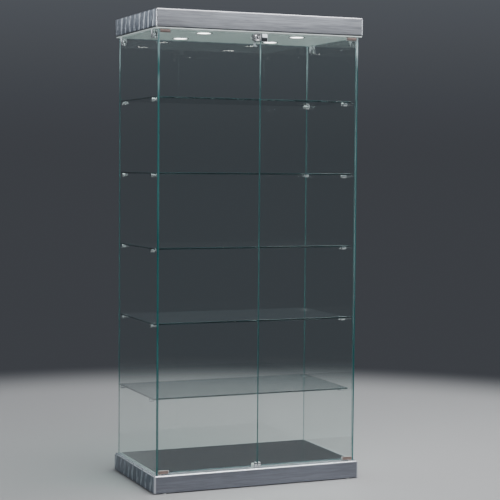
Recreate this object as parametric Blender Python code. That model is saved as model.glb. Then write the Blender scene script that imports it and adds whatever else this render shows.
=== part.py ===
"""Free-standing glass display cabinet with two pivot-hung glass doors.

A laminated plinth and canopy are joined by three glass panes, and two inset glass doors turn on
pins at their outer corners. Five glass shelves rest on metal pegs bonded to the side panes, and
four downlights shine from the canopy. Metres, +Z up, +X to the right seen from the front, and the
doors face -Y. The origin is on the floor, at the middle of the plan.
"""

import math

import bmesh
import bpy
from mathutils import Matrix, Vector

# ---------------------------------------------------------------- driving dimensions
WIDTH = 0.880
DEPTH = 0.510
GLIDE_HEIGHT = 0.004
BODY_HEIGHT = 1.862
BOARD_HEIGHT = 0.068  # of the plinth, and of the canopy's laminated rails
CEILING_THICKNESS = 0.008
GAP = 0.0003  # between pieces that touch
GLASS = 0.006
SHELF_COUNT = 5
SHELF_PITCH = 0.2925

# ---------------------------------------------------------------- levels
PLINTH_BOTTOM = GLIDE_HEIGHT
PLINTH_TOP = PLINTH_BOTTOM + BOARD_HEIGHT
CANOPY_TOP = PLINTH_BOTTOM + BODY_HEIGHT
CANOPY_BOTTOM = CANOPY_TOP - BOARD_HEIGHT
CEILING = CANOPY_BOTTOM - CEILING_THICKNESS  # the lit underside
CEILING_TOP = CANOPY_BOTTOM - GAP

# ---------------------------------------------------------------- laminated boards
RAIL_THICKNESS = 0.0136
DECK_THICKNESS = 0.018
TOP_BOARD_THICKNESS = 0.016
CORNER_RADIUS = 0.008
TOP_EDGE_RADIUS = 0.007
LOWER_EDGE_RADIUS = 0.001
INNER_X = WIDTH / 2 - RAIL_THICKNESS - GAP
INNER_Y = DEPTH / 2 - RAIL_THICKNESS - GAP
CEILING_INSET = 0.003

# ---------------------------------------------------------------- glass
PANE_OUTER_X = WIDTH / 2 - 0.014
PANE_INNER_X = PANE_OUTER_X - GLASS
PANE_FRONT_Y = -DEPTH / 2 + 0.018
PANE_BACK_Y = DEPTH / 2 - 0.014
GROOVE_DEPTH = 0.008
GROOVE_PLAY = 0.0006
PANE_BOTTOM = PLINTH_TOP - GROOVE_DEPTH + GAP
ARRIS = 0.0006  # the ground edge of every pane

# ---------------------------------------------------------------- glass brackets under the ceiling
BRACKET_WIDTH = 0.026
BRACKET_DEPTH = 0.014
BRACKET_DROP = 0.034
BRACKET_WEB = 0.0022
BRACKET_Y = 0.190
BRACKET_SCREW_DROP = 0.022
BRACKET_TAPPING_RADIUS = 0.0025
PANE_TOP = CEILING - GAP - BRACKET_WEB - GAP

# ---------------------------------------------------------------- doors
DOOR_SIDE_GAP = 0.002
DOOR_MEETING_GAP = 0.002
DOOR_OUTER_X = PANE_INNER_X - DOOR_SIDE_GAP
DOOR_INNER_X = DOOR_MEETING_GAP / 2
DOOR_Y = PANE_FRONT_Y + GLASS / 2
PIVOT_X = DOOR_OUTER_X - 0.008
SHOE_LENGTH = 0.040
SHOE_HEIGHT = 0.0123
SHOE_WIDTH = 0.013
SHOE_WALL = 0.002
SHOE_FLOOR_CLEARANCE = 0.0037
SHOE_CEILING_CLEARANCE = 0.0017
LINER_WALL = 0.0009
SHOE_START = DOOR_OUTER_X - 0.001
GLASS_IN_SHOE = SHOE_WALL + GAP + LINER_WALL + GAP
SHOE_BOTTOM = PLINTH_TOP + SHOE_FLOOR_CLEARANCE
SHOE_TOP = CEILING - SHOE_CEILING_CLEARANCE
DOOR_BOTTOM = SHOE_BOTTOM + GLASS_IN_SHOE
DOOR_TOP = SHOE_TOP - GLASS_IN_SHOE
PIN_RADIUS = 0.0027
PIN_CLEARANCE = 0.0003
PIN_REACH = {"bottom": 0.0140, "top": 0.0076}  # below or above the shoe
PIN_BORE_DEPTH = 0.0120
SHOE_SCREW_RADIUS = 0.002
SHOE_SCREW_RISE = 0.0072
SHOE_SCREW_PLACES = (0.45, 0.80)  # shares of the shoe's length

# ---------------------------------------------------------------- shelves and their pegs
SHELF_HALF_X = PANE_INNER_X - 0.0015
SHELF_FRONT_Y = -0.191
SHELF_BACK_Y = 0.231
PEG_FRONT_Y = -0.150
PEG_BACK_Y = 0.215
PEG_RADIUS = 0.008
PEG_FLAT = 0.004  # height of the flat above the peg's axis
PEG_BODY = 0.017
PEG_NECK = 0.0035
PEG_NECK_RADIUS = 0.0036
PEG_TIP = 0.006
PEG_TIP_RADIUS = 0.007
PEG_SIDES = 16

# ---------------------------------------------------------------- lock and catch
LOCK_X = -0.0228
LOCK_HALF_HEIGHT = 0.01575
LOCK_Z = DOOR_TOP - 0.0130
LOCK_THICKNESS = 0.008
LOCK_REAR_PLATE = 0.003
LOCK_RIGHT_X = -0.0015
PLUG_RADIUS = 0.009
SLEEVE_RADIUS = 0.006
SPINDLE_RADIUS = 0.004
SQUARE_HALF = 0.0027
CAM_THICKNESS = 0.0025
CAM_REACH = 0.035
CAM_HALF_WIDTH = 0.004
CAM_NOSE = 0.005
CAM_HUB_RADIUS = 0.0072
KEEPER_RIGHT_X = 0.0265
KEEPER_THICKNESS = 0.0055
CUP_LEFT_X = 0.0060
CUP_RIGHT_X = 0.0150
CUP_WALL = 0.0020
CUP_PLAY = 0.0010
CUP_DEPTH = 0.0060
CLIP_WIDTH = 0.0125
CLIP_HEIGHT = 0.0165
CLIP_WALL = 0.0015
CATCH_WIDTH = 0.032
CATCH_HEIGHT = 0.0145

# ---------------------------------------------------------------- floor, glides and lights
MIRROR_THICKNESS = 0.004
MIRROR_FRONT_Y = -DEPTH / 2 + 0.050
GLIDE_RADIUS = 0.008
GLIDE_X = 0.394
GLIDE_Y = 0.245
LIGHT_X = 0.200
LIGHT_Y = 0.135
BEZEL_RADIUS = 0.034
BEZEL_DROP = 0.003
LENS_RADIUS = 0.0296
CAN_RADIUS = 0.0265
CAN_HEIGHT = 0.024
CAN_WALL = 0.0015
FLEX_RADIUS = 0.004  # of the hole in the can's lid
INLET_X = 0.300
INLET_WIDTH = 0.028
INLET_HEIGHT = 0.020
INLET_PIN_PITCH = 0.0086
DRIVER_LENGTH = 0.140
DRIVER_DEPTH = 0.044
DRIVER_SETBACK = 0.002

# ---------------------------------------------------------------- finishes
# Each is a colour, a roughness, a metallic value and an alpha.
FINISHES = {
    "silver_laminate": ((0.42, 0.43, 0.45), 0.32, 0.0, 1.0),
    "white_lacquer": ((0.80, 0.84, 0.82), 0.35, 0.0, 1.0),
    "clear_glass": ((0.62, 0.80, 0.76), 0.03, 0.0, 0.22),
    "smoked_mirror": ((0.10, 0.12, 0.13), 0.05, 1.0, 1.0),
    "chrome": ((0.80, 0.81, 0.82), 0.12, 1.0, 1.0),
    "warm_nickel": ((0.42, 0.35, 0.33), 0.30, 1.0, 1.0),
    "zinc_steel": ((0.55, 0.56, 0.58), 0.40, 1.0, 1.0),
    "white_plastic": ((0.75, 0.75, 0.73), 0.50, 0.0, 1.0),
    "black_plastic": ((0.03, 0.03, 0.03), 0.50, 0.0, 1.0),
}


def clear_scene():
    for item in list(bpy.data.objects):
        bpy.data.objects.remove(item, do_unlink=True)


def finish(node, key):
    """The node's own Principled material, in one of the cabinet's finishes."""
    colour, roughness, metallic, alpha = FINISHES[key]
    look = bpy.data.materials.new(node)
    look.use_nodes = True
    shader = look.node_tree.nodes["Principled BSDF"]
    shader.inputs["Base Color"].default_value = (*colour, 1.0)
    shader.inputs["Roughness"].default_value = roughness
    shader.inputs["Metallic"].default_value = metallic
    shader.inputs["Alpha"].default_value = alpha
    return look


# ---------------------------------------------------------------- shape helpers
def add_node(name, shape, key, origin=(0, 0, 0), pivot=None, smooth=False):
    """Make the object of a shape given in world coordinates, with its origin at a chosen point."""
    bmesh.ops.translate(shape, verts=shape.verts, vec=-Vector(origin))
    bmesh.ops.recalc_face_normals(shape, faces=shape.faces)
    mesh = bpy.data.meshes.new(name)
    shape.to_mesh(mesh)
    shape.free()
    if smooth:
        mesh.shade_smooth()
        mesh.set_sharp_from_angle(angle=math.radians(35))
    node = bpy.data.objects.new(name, mesh)
    node.location = origin
    if pivot is not None:
        node.parent = pivot
        node.location = Vector(origin) - pivot.location
    mesh.materials.append(finish(name, key))
    bpy.context.collection.objects.link(node)
    return node


def add_pivot(name, location):
    """An empty on a joint's axis, which the moving pieces hang from."""
    pivot = bpy.data.objects.new(name, None)
    pivot.location = location
    bpy.context.collection.objects.link(pivot)
    bpy.context.view_layer.update()
    return pivot


def add_cutter(name, shape, pivot=None):
    """A guide solid, shown as wire and left out of the cabinet."""
    cutter = add_node(name, shape, "black_plastic", pivot=pivot)
    cutter.hide_render = True
    cutter.display_type = "WIRE"
    return cutter


def combine(target, cutter, operation):
    step = target.modifiers.new(cutter.name, "BOOLEAN")
    step.operation = operation
    step.object = cutter
    step.solver = "EXACT"


def soften(target, width, segments=1, angle=40):
    """A Bevel on the edges that turn by more than the angle."""
    step = target.modifiers.new("edge", "BEVEL")
    step.width = width
    step.segments = segments
    step.limit_method = "ANGLE"
    step.angle_limit = math.radians(angle)


def block(low, high):
    """A box between two corners."""
    shape = bmesh.new()
    size = Vector(high) - Vector(low)
    middle = (Vector(high) + Vector(low)) / 2
    bmesh.ops.create_cube(shape, size=1.0, matrix=Matrix.Translation(middle) @ Matrix.Diagonal((*size, 1.0)))
    return shape


def prism(outline, low, high, to_world):
    """An outline of (a, b) points carried from low to high along the third direction."""
    shape = bmesh.new()
    lower = [shape.verts.new(to_world(a, b, low)) for a, b in outline]
    upper = [shape.verts.new(to_world(a, b, high)) for a, b in outline]
    shape.faces.new(lower)
    shape.faces.new(upper)
    for i in range(len(outline)):
        j = (i + 1) % len(outline)
        shape.faces.new((lower[i], lower[j], upper[j], upper[i]))
    return shape


def stack(rings):
    """Closed rings of equal length joined in order, with a flat face on each end."""
    shape = bmesh.new()
    loops = [[shape.verts.new(point) for point in ring] for ring in rings]
    count = len(loops[0])
    for near, far in zip(loops, loops[1:]):
        for i in range(count):
            j = (i + 1) % count
            shape.faces.new((near[i], near[j], far[j], far[i]))
    shape.faces.new(loops[0])
    shape.faces.new(loops[-1])
    return shape


def turned(profile, segments, closed=False):
    """A profile of (radius, height) turned about +Z, solid to the axis or, when closed, a ring."""
    circle = [2 * math.pi * k / segments for k in range(segments)]
    rings = [[(r * math.cos(a), r * math.sin(a), h) for a in circle] for r, h in profile]
    if not closed:
        return stack(rings)
    shape = bmesh.new()
    loops = [[shape.verts.new(point) for point in ring] for ring in rings]
    for k, near in enumerate(loops):
        far = loops[(k + 1) % len(loops)]
        for i in range(segments):
            j = (i + 1) % segments
            shape.faces.new((near[i], near[j], far[j], far[i]))
    return shape


def moved(shape, matrix):
    bmesh.ops.transform(shape, matrix=matrix, verts=shape.verts)
    if matrix.determinant() < 0:
        bmesh.ops.reverse_faces(shape, faces=shape.faces)
    return shape


def arc(centre, radius, start, end, steps):
    """Points of an arc from one angle to another, both ends included."""
    angles = [start + (end - start) * k / steps for k in range(steps + 1)]
    return [(centre[0] + radius * math.cos(a), centre[1] + radius * math.sin(a)) for a in angles]


def group(shapes):
    """Several separate solids as one shape."""
    whole = bmesh.new()
    for shape in shapes:
        piece = bpy.data.meshes.new("piece")
        shape.to_mesh(piece)
        shape.free()
        whole.from_mesh(piece)
        bpy.data.meshes.remove(piece)
    return whole


def rod(start, end, radius, segments):
    """A straight bar between two points."""
    start = Vector(start)
    along = Vector(end) - start
    shape = turned([(radius, 0), (radius, along.length)], segments)
    turn = along.to_track_quat("Z", "Y").to_matrix().to_4x4()
    return moved(shape, Matrix.Translation(start) @ turn)


def corners(x, y):
    """The four plan positions that share one distance from the middle."""
    return [(sx * x, sy * y) for sy in (-1, 1) for sx in (-1, 1)]


def place_name(x, y):
    return ("front_" if y < 0 else "back_") + ("left" if x < 0 else "right")


# ---------------------------------------------------------------- plinth and canopy
def rounded_outline(half_x, half_y, radius, segments=4):
    """A rectangle in plan with arcs at its corners."""
    points = []
    for quarter, (sx, sy) in enumerate(((1, 1), (-1, 1), (-1, -1), (1, -1))):
        for k in range(segments + 1):
            angle = math.pi / 2 * (quarter + k / segments)
            points.append((
                sx * (half_x - radius) + radius * math.cos(angle),
                sy * (half_y - radius) + radius * math.sin(angle),
            ))
    return points


def rounded_slab(bottom, top, segments=4):
    """The outer form of the plinth or canopy: round corners, a round top edge, a fine lower edge."""
    levels = []
    for k in range(3):
        angle = math.pi / 4 * k
        rise = LOWER_EDGE_RADIUS * (1 - math.cos(angle))
        levels.append((LOWER_EDGE_RADIUS * (1 - math.sin(angle)), bottom + rise))
    for k in range(segments + 1):
        angle = math.pi / 2 * k / segments
        drop = TOP_EDGE_RADIUS * (1 - math.sin(angle))
        levels.append((TOP_EDGE_RADIUS * (1 - math.cos(angle)), top - drop))
    rings = []
    for inset, height in levels:
        outline = rounded_outline(WIDTH / 2 - inset, DEPTH / 2 - inset, CORNER_RADIUS - inset)
        rings.append([(x, y, height) for x, y in outline])
    return stack(rings)


def folded_frame(name, bottom, top):
    """A laminated board folded round into one ring, with square inner walls."""
    frame = add_node(name, rounded_slab(bottom, top), "silver_laminate")
    over = 0.010
    wall_x, wall_y = WIDTH / 2 - RAIL_THICKNESS, DEPTH / 2 - RAIL_THICKNESS
    inside = block((-wall_x, -wall_y, bottom - over), (wall_x, wall_y, top + over))
    combine(frame, add_cutter(name + "_inside", inside), "DIFFERENCE")
    return frame


def pin_bores(name, low, high):
    """Cutter for the two holes that the doors' pins turn in."""
    radius = PIN_RADIUS + PIN_CLEARANCE
    places = (-PIVOT_X, PIVOT_X)
    return add_cutter(name, group([rod((x, DOOR_Y, low), (x, DOOR_Y, high), radius, 20) for x in places]))


def plinth():
    folded_frame("plinth_frame", PLINTH_BOTTOM, PLINTH_TOP)
    deck = add_node(
        "plinth_deck",
        block((-INNER_X, -INNER_Y, PLINTH_TOP - DECK_THICKNESS), (INNER_X, INNER_Y, PLINTH_TOP)),
        "silver_laminate",
    )
    # The side and back panes stand in a rabbet whose outer wall is the frame.
    floor = PLINTH_TOP - GROOVE_DEPTH
    over = 0.005
    wall = PANE_INNER_X - GROOVE_PLAY
    for side in (-1, 1):
        near, far = sorted((side * wall, side * (INNER_X + over)))
        rabbet = block((near, PANE_FRONT_Y - GROOVE_PLAY, floor), (far, INNER_Y + over, PLINTH_TOP + over))
        combine(deck, add_cutter("side_rabbet", rabbet), "DIFFERENCE")
    back_wall = PANE_BACK_Y - GLASS - GROOVE_PLAY
    rabbet = block((-wall - over, back_wall, floor), (wall + over, INNER_Y + over, PLINTH_TOP + over))
    combine(deck, add_cutter("back_rabbet", rabbet), "DIFFERENCE")
    combine(deck, pin_bores("deck_pin_bores", PLINTH_TOP - PIN_BORE_DEPTH, PLINTH_TOP + over), "DIFFERENCE")

    profile = [
        (GLIDE_RADIUS - 0.0012, 0.0),
        (GLIDE_RADIUS - 0.0003, 0.0006),
        (GLIDE_RADIUS, 0.0016),
        (GLIDE_RADIUS, GLIDE_HEIGHT - GAP),
    ]
    for x, y in corners(GLIDE_X, GLIDE_Y):
        glide = turned(profile, 24)
        moved(glide, Matrix.Translation((x, y, 0)))
        add_node(f"floor_glide_{place_name(x, y)}", glide, "white_plastic", origin=(x, y, 0), smooth=True)

    mirror = add_node(
        "mirror_floor",
        block(
            (-PANE_INNER_X + 0.005, MIRROR_FRONT_Y, PLINTH_TOP + GAP),
            (PANE_INNER_X - 0.005, PANE_BACK_Y - GLASS - 0.004, PLINTH_TOP + GAP + MIRROR_THICKNESS),
        ),
        "smoked_mirror",
    )
    soften(mirror, ARRIS)


def canopy():
    frame = folded_frame("canopy_frame", CANOPY_BOTTOM, CANOPY_TOP)
    add_node(
        "canopy_top_board",
        block((-INNER_X, -INNER_Y, CANOPY_TOP - TOP_BOARD_THICKNESS), (INNER_X, INNER_Y, CANOPY_TOP)),
        "silver_laminate",
    )
    half_x = WIDTH / 2 - CEILING_INSET
    half_y = DEPTH / 2 - CEILING_INSET
    panel_outline = rounded_outline(half_x, half_y, CORNER_RADIUS - CEILING_INSET)
    panel = add_node(
        "ceiling_panel",
        prism(panel_outline, CEILING, CEILING_TOP, lambda a, b, c: (a, b, c)),
        "white_lacquer",
    )
    over = 0.005
    holes = [
        rod((x, y, CEILING - over), (x, y, CEILING_TOP + over), CAN_RADIUS + 0.0005, 28)
        for x, y in corners(LIGHT_X, LIGHT_Y)
    ]
    combine(panel, add_cutter("downlight_holes", group(holes)), "DIFFERENCE")
    combine(panel, pin_bores("ceiling_pin_bores", CEILING - over, CEILING_TOP + over), "DIFFERENCE")
    led_driver(frame)


def led_driver(frame):
    """The lamps' power supply, with its two-pin inlet in the canopy's back."""
    x, z = INLET_X, (CANOPY_BOTTOM + CANOPY_TOP - TOP_BOARD_THICKNESS) / 2
    half_x, half_z = INLET_WIDTH / 2, INLET_HEIGHT / 2
    back = DEPTH / 2
    inner = INNER_Y - DRIVER_SETBACK
    over = 0.010
    room_x, room_z = half_x + GAP, half_z + GAP
    opening = block((x - room_x, inner, z - room_z), (x + room_x, back + over, z + room_z))
    combine(frame, add_cutter("inlet_opening", opening), "DIFFERENCE")

    low = (x + 0.040 - DRIVER_LENGTH, inner - DRIVER_DEPTH, CANOPY_BOTTOM + GAP)
    driver = add_node("led_driver", block(low, (x + 0.040, inner, z + 0.013)), "white_plastic")
    soften(driver, 0.0015, segments=2)
    snout = block((x - half_x, inner - 0.005, z - half_z), (x + half_x, back - 0.0005, z + half_z))
    combine(driver, add_cutter("inlet_snout", snout), "UNION")
    well_floor = back - 0.016
    well = block((x - 0.009, well_floor, z - 0.0045), (x + 0.009, back + over, z + 0.0045))
    combine(driver, add_cutter("inlet_well", well), "DIFFERENCE")
    pins = [
        rod((pin_x, well_floor - 0.0005, z), (pin_x, back - 0.004, z), 0.0012, 10)
        for pin_x in (x - INLET_PIN_PITCH / 2, x + INLET_PIN_PITCH / 2)
    ]
    combine(driver, add_cutter("inlet_pins", group(pins)), "UNION")


# ---------------------------------------------------------------- fixed glass
def pane(name, low, high, pivot=None, origin=None):
    shape = block(low, high)
    middle = (Vector(low) + Vector(high)) / 2
    node = add_node(name, shape, "clear_glass", origin=middle if origin is None else origin, pivot=pivot)
    soften(node, ARRIS)
    return node


def fixed_glass():
    for side, name in ((-1, "left_side_glass"), (1, "right_side_glass")):
        near, far = sorted((side * PANE_INNER_X, side * PANE_OUTER_X))
        pane(name, (near, PANE_FRONT_Y, PANE_BOTTOM), (far, PANE_BACK_Y, PANE_TOP))
    half = PANE_INNER_X - 0.0005
    pane("back_glass", (-half, PANE_BACK_Y - GLASS, PANE_BOTTOM), (half, PANE_BACK_Y, PANE_TOP))


def glass_brackets():
    """Four clamps under the ceiling that straddle the side panes, each tapped for a clamping screw."""
    top = CEILING - GAP
    bottom = top - BRACKET_DROP
    slot = GLASS / 2 + GAP
    half_x, half_y = BRACKET_WIDTH / 2, BRACKET_DEPTH / 2
    over = 0.005
    screw_z = top - BRACKET_SCREW_DROP
    for x, y in corners((PANE_INNER_X + PANE_OUTER_X) / 2, BRACKET_Y):
        bracket = add_node(
            f"glass_bracket_{place_name(x, y)}",
            block((x - half_x, y - half_y, bottom), (x + half_x, y + half_y, top)),
            "chrome",
            origin=(x, y, top),
            smooth=True,
        )
        soften(bracket, 0.0012, segments=2)
        low = (x - slot, y - half_y - over, bottom - over)
        pane_slot = block(low, (x + slot, y + half_y + over, top - BRACKET_WEB))
        combine(bracket, add_cutter("bracket_slot", pane_slot), "DIFFERENCE")
        inwards = math.copysign(half_x + over, -x)
        tapping = rod((x, y, screw_z), (x + inwards, y, screw_z), BRACKET_TAPPING_RADIUS, 14)
        combine(bracket, add_cutter("bracket_tapping", tapping), "DIFFERENCE")


# ---------------------------------------------------------------- shelves
def peg(side, y, flat_z):
    """A shelf peg: a round bar with a flat on top, a neck, and a round-nosed tip."""
    axis_z = flat_z - PEG_FLAT
    start = GAP
    neck = start + PEG_BODY
    tip = neck + PEG_NECK
    end = tip + PEG_TIP
    sections = (
        (start, PEG_RADIUS),
        (neck - 0.0008, PEG_RADIUS),
        (neck, PEG_RADIUS - 0.0008),
        (neck + 0.0002, PEG_NECK_RADIUS),
        (tip - 0.0002, PEG_NECK_RADIUS),
        (tip, PEG_TIP_RADIUS),
        (end - 0.0030, PEG_TIP_RADIUS),
        (end - 0.0008, PEG_TIP_RADIUS - 0.0016),
        (end, PEG_TIP_RADIUS - 0.0038),
    )
    rings = []
    for reach, radius in sections:
        ring = []
        for k in range(PEG_SIDES):
            angle = 2 * math.pi * (k + 0.5) / PEG_SIDES
            height = min(radius * math.sin(angle), PEG_FLAT)
            ring.append((side * (PANE_INNER_X - reach), y + radius * math.cos(angle), axis_z + height))
        rings.append(ring)
    return stack(rings)


def shelves():
    for number in range(1, SHELF_COUNT + 1):
        top = PLINTH_TOP + number * SHELF_PITCH
        low = (-SHELF_HALF_X, SHELF_FRONT_Y, top - GLASS)
        pane(f"shelf_{number}", low, (SHELF_HALF_X, SHELF_BACK_Y, top))
        flat = top - GLASS - GAP
        for side in (-1, 1):
            for y in (PEG_FRONT_Y, PEG_BACK_Y):
                name = f"shelf_{number}_peg_{place_name(side, y)}"
                root = (side * PANE_INNER_X, y, flat)
                add_node(name, peg(side, y, flat), "chrome", origin=root, smooth=True)


# ---------------------------------------------------------------- doors
def corner_shoe(side_name, side, level, pivot):
    """A channel over a door's corner, with a pin riveted through its web for the door to turn on."""
    low_x, high_x = sorted((side * (SHOE_START - SHOE_LENGTH), side * SHOE_START))
    base, up = (SHOE_BOTTOM, 1) if level == "bottom" else (SHOE_TOP, -1)
    far = base + up * SHOE_HEIGHT
    cheek = SHOE_WIDTH / 2
    slot = cheek - SHOE_WALL
    over = 0.005
    shoe = add_node(
        f"{side_name}_door_{level}_shoe",
        block((low_x, DOOR_Y - cheek, min(base, far)), (high_x, DOOR_Y + cheek, max(base, far))),
        "warm_nickel",
        origin=(side * PIVOT_X, DOOR_Y, base),
        pivot=pivot,
        smooth=True,
    )
    soften(shoe, 0.0012, segments=2)
    near, deep = sorted((base + up * SHOE_WALL, far + up * over))
    channel = block((low_x - over, DOOR_Y - slot, near), (high_x + over, DOOR_Y + slot, deep))
    combine(shoe, add_cutter(f"{side_name}_{level}_shoe_channel", channel, pivot), "DIFFERENCE")
    screw_z = base + up * SHOE_SCREW_RISE
    holes = []
    for share in SHOE_SCREW_PLACES:
        x = side * (SHOE_START - SHOE_LENGTH * share)
        mouth = (x, DOOR_Y + cheek + over, screw_z)
        holes.append(rod((x, DOOR_Y + slot - 0.001, screw_z), mouth, SHOE_SCREW_RADIUS, 14))
    tappings = add_cutter(f"{side_name}_{level}_shoe_tappings", group(holes), pivot)
    combine(shoe, tappings, "DIFFERENCE")
    pin = pivot_pin(side * PIVOT_X, base - up * PIN_REACH[level], base + up * (SHOE_WALL / 2))
    combine(shoe, add_cutter(f"{side_name}_{level}_shoe_pin", pin, pivot), "UNION")


def pivot_pin(x, foot, head):
    """A steel pin with a chamfered free end."""
    profile = [(PIN_RADIUS - 0.0006, 0), (PIN_RADIUS, 0.0006), (PIN_RADIUS, abs(head - foot))]
    turn = Matrix.Identity(4) if head > foot else Matrix.Rotation(math.pi, 4, "X")
    return moved(turned(profile, 20), Matrix.Translation((x, DOOR_Y, foot)) @ turn)


def catch_clip(side_name, side, pivot):
    """A steel strap folded round the door's lower meeting corner, for the magnet to hold."""
    low_x, high_x = sorted((side * (DOOR_INNER_X + 0.0003), side * (DOOR_INNER_X + CLIP_WIDTH)))
    inside = GLASS / 2 + GAP
    outside = inside + CLIP_WALL
    base = DOOR_BOTTOM - GAP - CLIP_WALL
    rim = base + CLIP_HEIGHT
    outline = [
        (-outside, base), (outside, base), (outside, rim), (inside, rim),
        (inside, base + CLIP_WALL), (-inside, base + CLIP_WALL), (-inside, rim), (-outside, rim),
    ]
    clip = add_node(
        f"{side_name}_catch_clip",
        prism(outline, low_x, high_x, lambda a, b, c: (c, DOOR_Y + a, b)),
        "chrome",
        pivot=pivot,
    )
    soften(clip, 0.0004)


def doors():
    pivots = {}
    for side_name, side in (("left", -1), ("right", 1)):
        pivot = add_pivot(f"{side_name}_door_pivot", (side * PIVOT_X, DOOR_Y, (DOOR_BOTTOM + DOOR_TOP) / 2))
        low_x, high_x = sorted((side * DOOR_INNER_X, side * DOOR_OUTER_X))
        low = (low_x, PANE_FRONT_Y, DOOR_BOTTOM)
        high = (high_x, PANE_FRONT_Y + GLASS, DOOR_TOP)
        leaf = pane(f"{side_name}_door_glass", low, high, pivot=pivot, origin=pivot.location)
        for level in ("bottom", "top"):
            corner_shoe(side_name, side, level, pivot)
        catch_clip(side_name, side, pivot)
        pivots[side_name] = (pivot, leaf)
    return pivots


def door_catch():
    """The magnet case on the ledge behind the doors' meeting corners."""
    front = DOOR_Y + GLASS / 2 + GAP + CLIP_WALL + 0.0010
    back = MIRROR_FRONT_Y - 0.003
    floor = PLINTH_TOP + GAP
    half = CATCH_WIDTH / 2
    shape = block((-half, front, floor), (half, back, floor + CATCH_HEIGHT))
    soften(add_node("catch_case", shape, "white_plastic"), 0.0010, segments=2)


# ---------------------------------------------------------------- lock
def lock(left_pivot, left_leaf, right_pivot):
    face = PANE_FRONT_Y - GAP  # the lock bears on the door's outer face here
    front = face - LOCK_THICKNESS
    rear = PANE_FRONT_Y + GLASS + GAP
    plate_back = rear + LOCK_REAR_PLATE
    over = 0.005

    # A notch in the left door's top edge lets the lock's sleeve through.
    notch = SLEEVE_RADIUS + 0.0005
    near, far = PANE_FRONT_Y - over, PANE_FRONT_Y + GLASS + over
    round_end = rod((LOCK_X, near, LOCK_Z), (LOCK_X, far, LOCK_Z), notch, 24)
    combine(left_leaf, add_cutter("door_notch_end", round_end, left_pivot), "DIFFERENCE")
    slot = block((LOCK_X - notch, near, LOCK_Z), (LOCK_X + notch, far, DOOR_TOP + over))
    combine(left_leaf, add_cutter("door_notch", slot, left_pivot), "DIFFERENCE")

    # The housing clasps the door's top edge: a thick front plate, a web above and a thin back plate.
    outline = [(LOCK_RIGHT_X, LOCK_Z - LOCK_HALF_HEIGHT), (LOCK_RIGHT_X, LOCK_Z + LOCK_HALF_HEIGHT)]
    outline += arc((LOCK_X, LOCK_Z), LOCK_HALF_HEIGHT, math.pi / 2, math.pi * 3 / 2, 16)
    housing = add_node(
        "lock_housing",
        prism(outline, front, plate_back, lambda a, b, c: (a, c, b)),
        "chrome",
        origin=(LOCK_X, DOOR_Y, LOCK_Z),
        pivot=left_pivot,
        smooth=True,
    )
    soften(housing, 0.0010, segments=2)
    glass_space = block(
        (LOCK_X - 2 * LOCK_HALF_HEIGHT, face, LOCK_Z - 2 * LOCK_HALF_HEIGHT),
        (LOCK_RIGHT_X + over, rear, DOOR_TOP + GAP),
    )
    combine(housing, add_cutter("lock_glass_space", glass_space, left_pivot), "DIFFERENCE")
    sleeve = rod((LOCK_X, face - 0.001, LOCK_Z), (LOCK_X, rear + 0.001, LOCK_Z), SLEEVE_RADIUS, 24)
    combine(housing, add_cutter("lock_sleeve", sleeve, left_pivot), "UNION")
    seat = front + 0.0060
    well = rod((LOCK_X, front - over, LOCK_Z), (LOCK_X, seat, LOCK_Z), PLUG_RADIUS + GAP, 24)
    combine(housing, add_cutter("lock_plug_well", well, left_pivot), "DIFFERENCE")
    bore = rod((LOCK_X, seat - 0.001, LOCK_Z), (LOCK_X, plate_back + over, LOCK_Z), SPINDLE_RADIUS + GAP, 20)
    combine(housing, add_cutter("lock_spindle_bore", bore, left_pivot), "DIFFERENCE")

    turning = add_pivot("lock_pivot", (LOCK_X, DOOR_Y, LOCK_Z))
    turning.parent = left_pivot
    turning.location = Vector((LOCK_X, DOOR_Y, LOCK_Z)) - left_pivot.location
    bpy.context.view_layer.update()
    cam_front = plate_back + 0.0004
    cam_back = cam_front + CAM_THICKNESS
    lock_cylinder(turning, front, seat, cam_front, cam_back)
    lock_cam(turning, cam_front, cam_back)
    lock_keeper(right_pivot, face, rear, cam_front, cam_back)


def hang_on_lock(node, turning):
    """Parent a node that stands in its world place to the lock's pivot, which the door carries."""
    node.parent = turning
    node.location = Vector(node.location) - turning.matrix_world.translation


def lock_cylinder(turning, front, seat, cam_front, cam_back):
    """The key plug with its keyway, and the spindle whose square end carries the cam."""
    head_back = seat - GAP
    proud = 0.0017
    plug = turned(
        [(PLUG_RADIUS - 0.0008, 0), (PLUG_RADIUS, 0.0008), (PLUG_RADIUS, head_back - front + proud)], 24)
    turn = Matrix.Rotation(-math.pi / 2, 4, "X")
    moved(plug, Matrix.Translation((LOCK_X, front - proud, LOCK_Z)) @ turn)
    node = add_node("lock_cylinder", plug, "chrome", origin=(LOCK_X, DOOR_Y, LOCK_Z), smooth=True)
    hang_on_lock(node, turning)
    spindle = rod((LOCK_X, head_back - 0.001, LOCK_Z), (LOCK_X, cam_front - GAP, LOCK_Z), SPINDLE_RADIUS, 20)
    combine(node, add_cutter("lock_spindle", spindle), "UNION")
    half = SQUARE_HALF
    low = (LOCK_X - half, cam_front - 0.002, LOCK_Z - half)
    square = block(low, (LOCK_X + half, cam_back + 0.0012, LOCK_Z + half))
    combine(node, add_cutter("lock_spindle_square", square), "UNION")
    keyway = block(
        (LOCK_X - 0.0009, front - 0.010, LOCK_Z - 0.0045), (LOCK_X + 0.0009, front + 0.0030, LOCK_Z + 0.0045))
    combine(node, add_cutter("lock_keyway", keyway), "DIFFERENCE")


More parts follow.
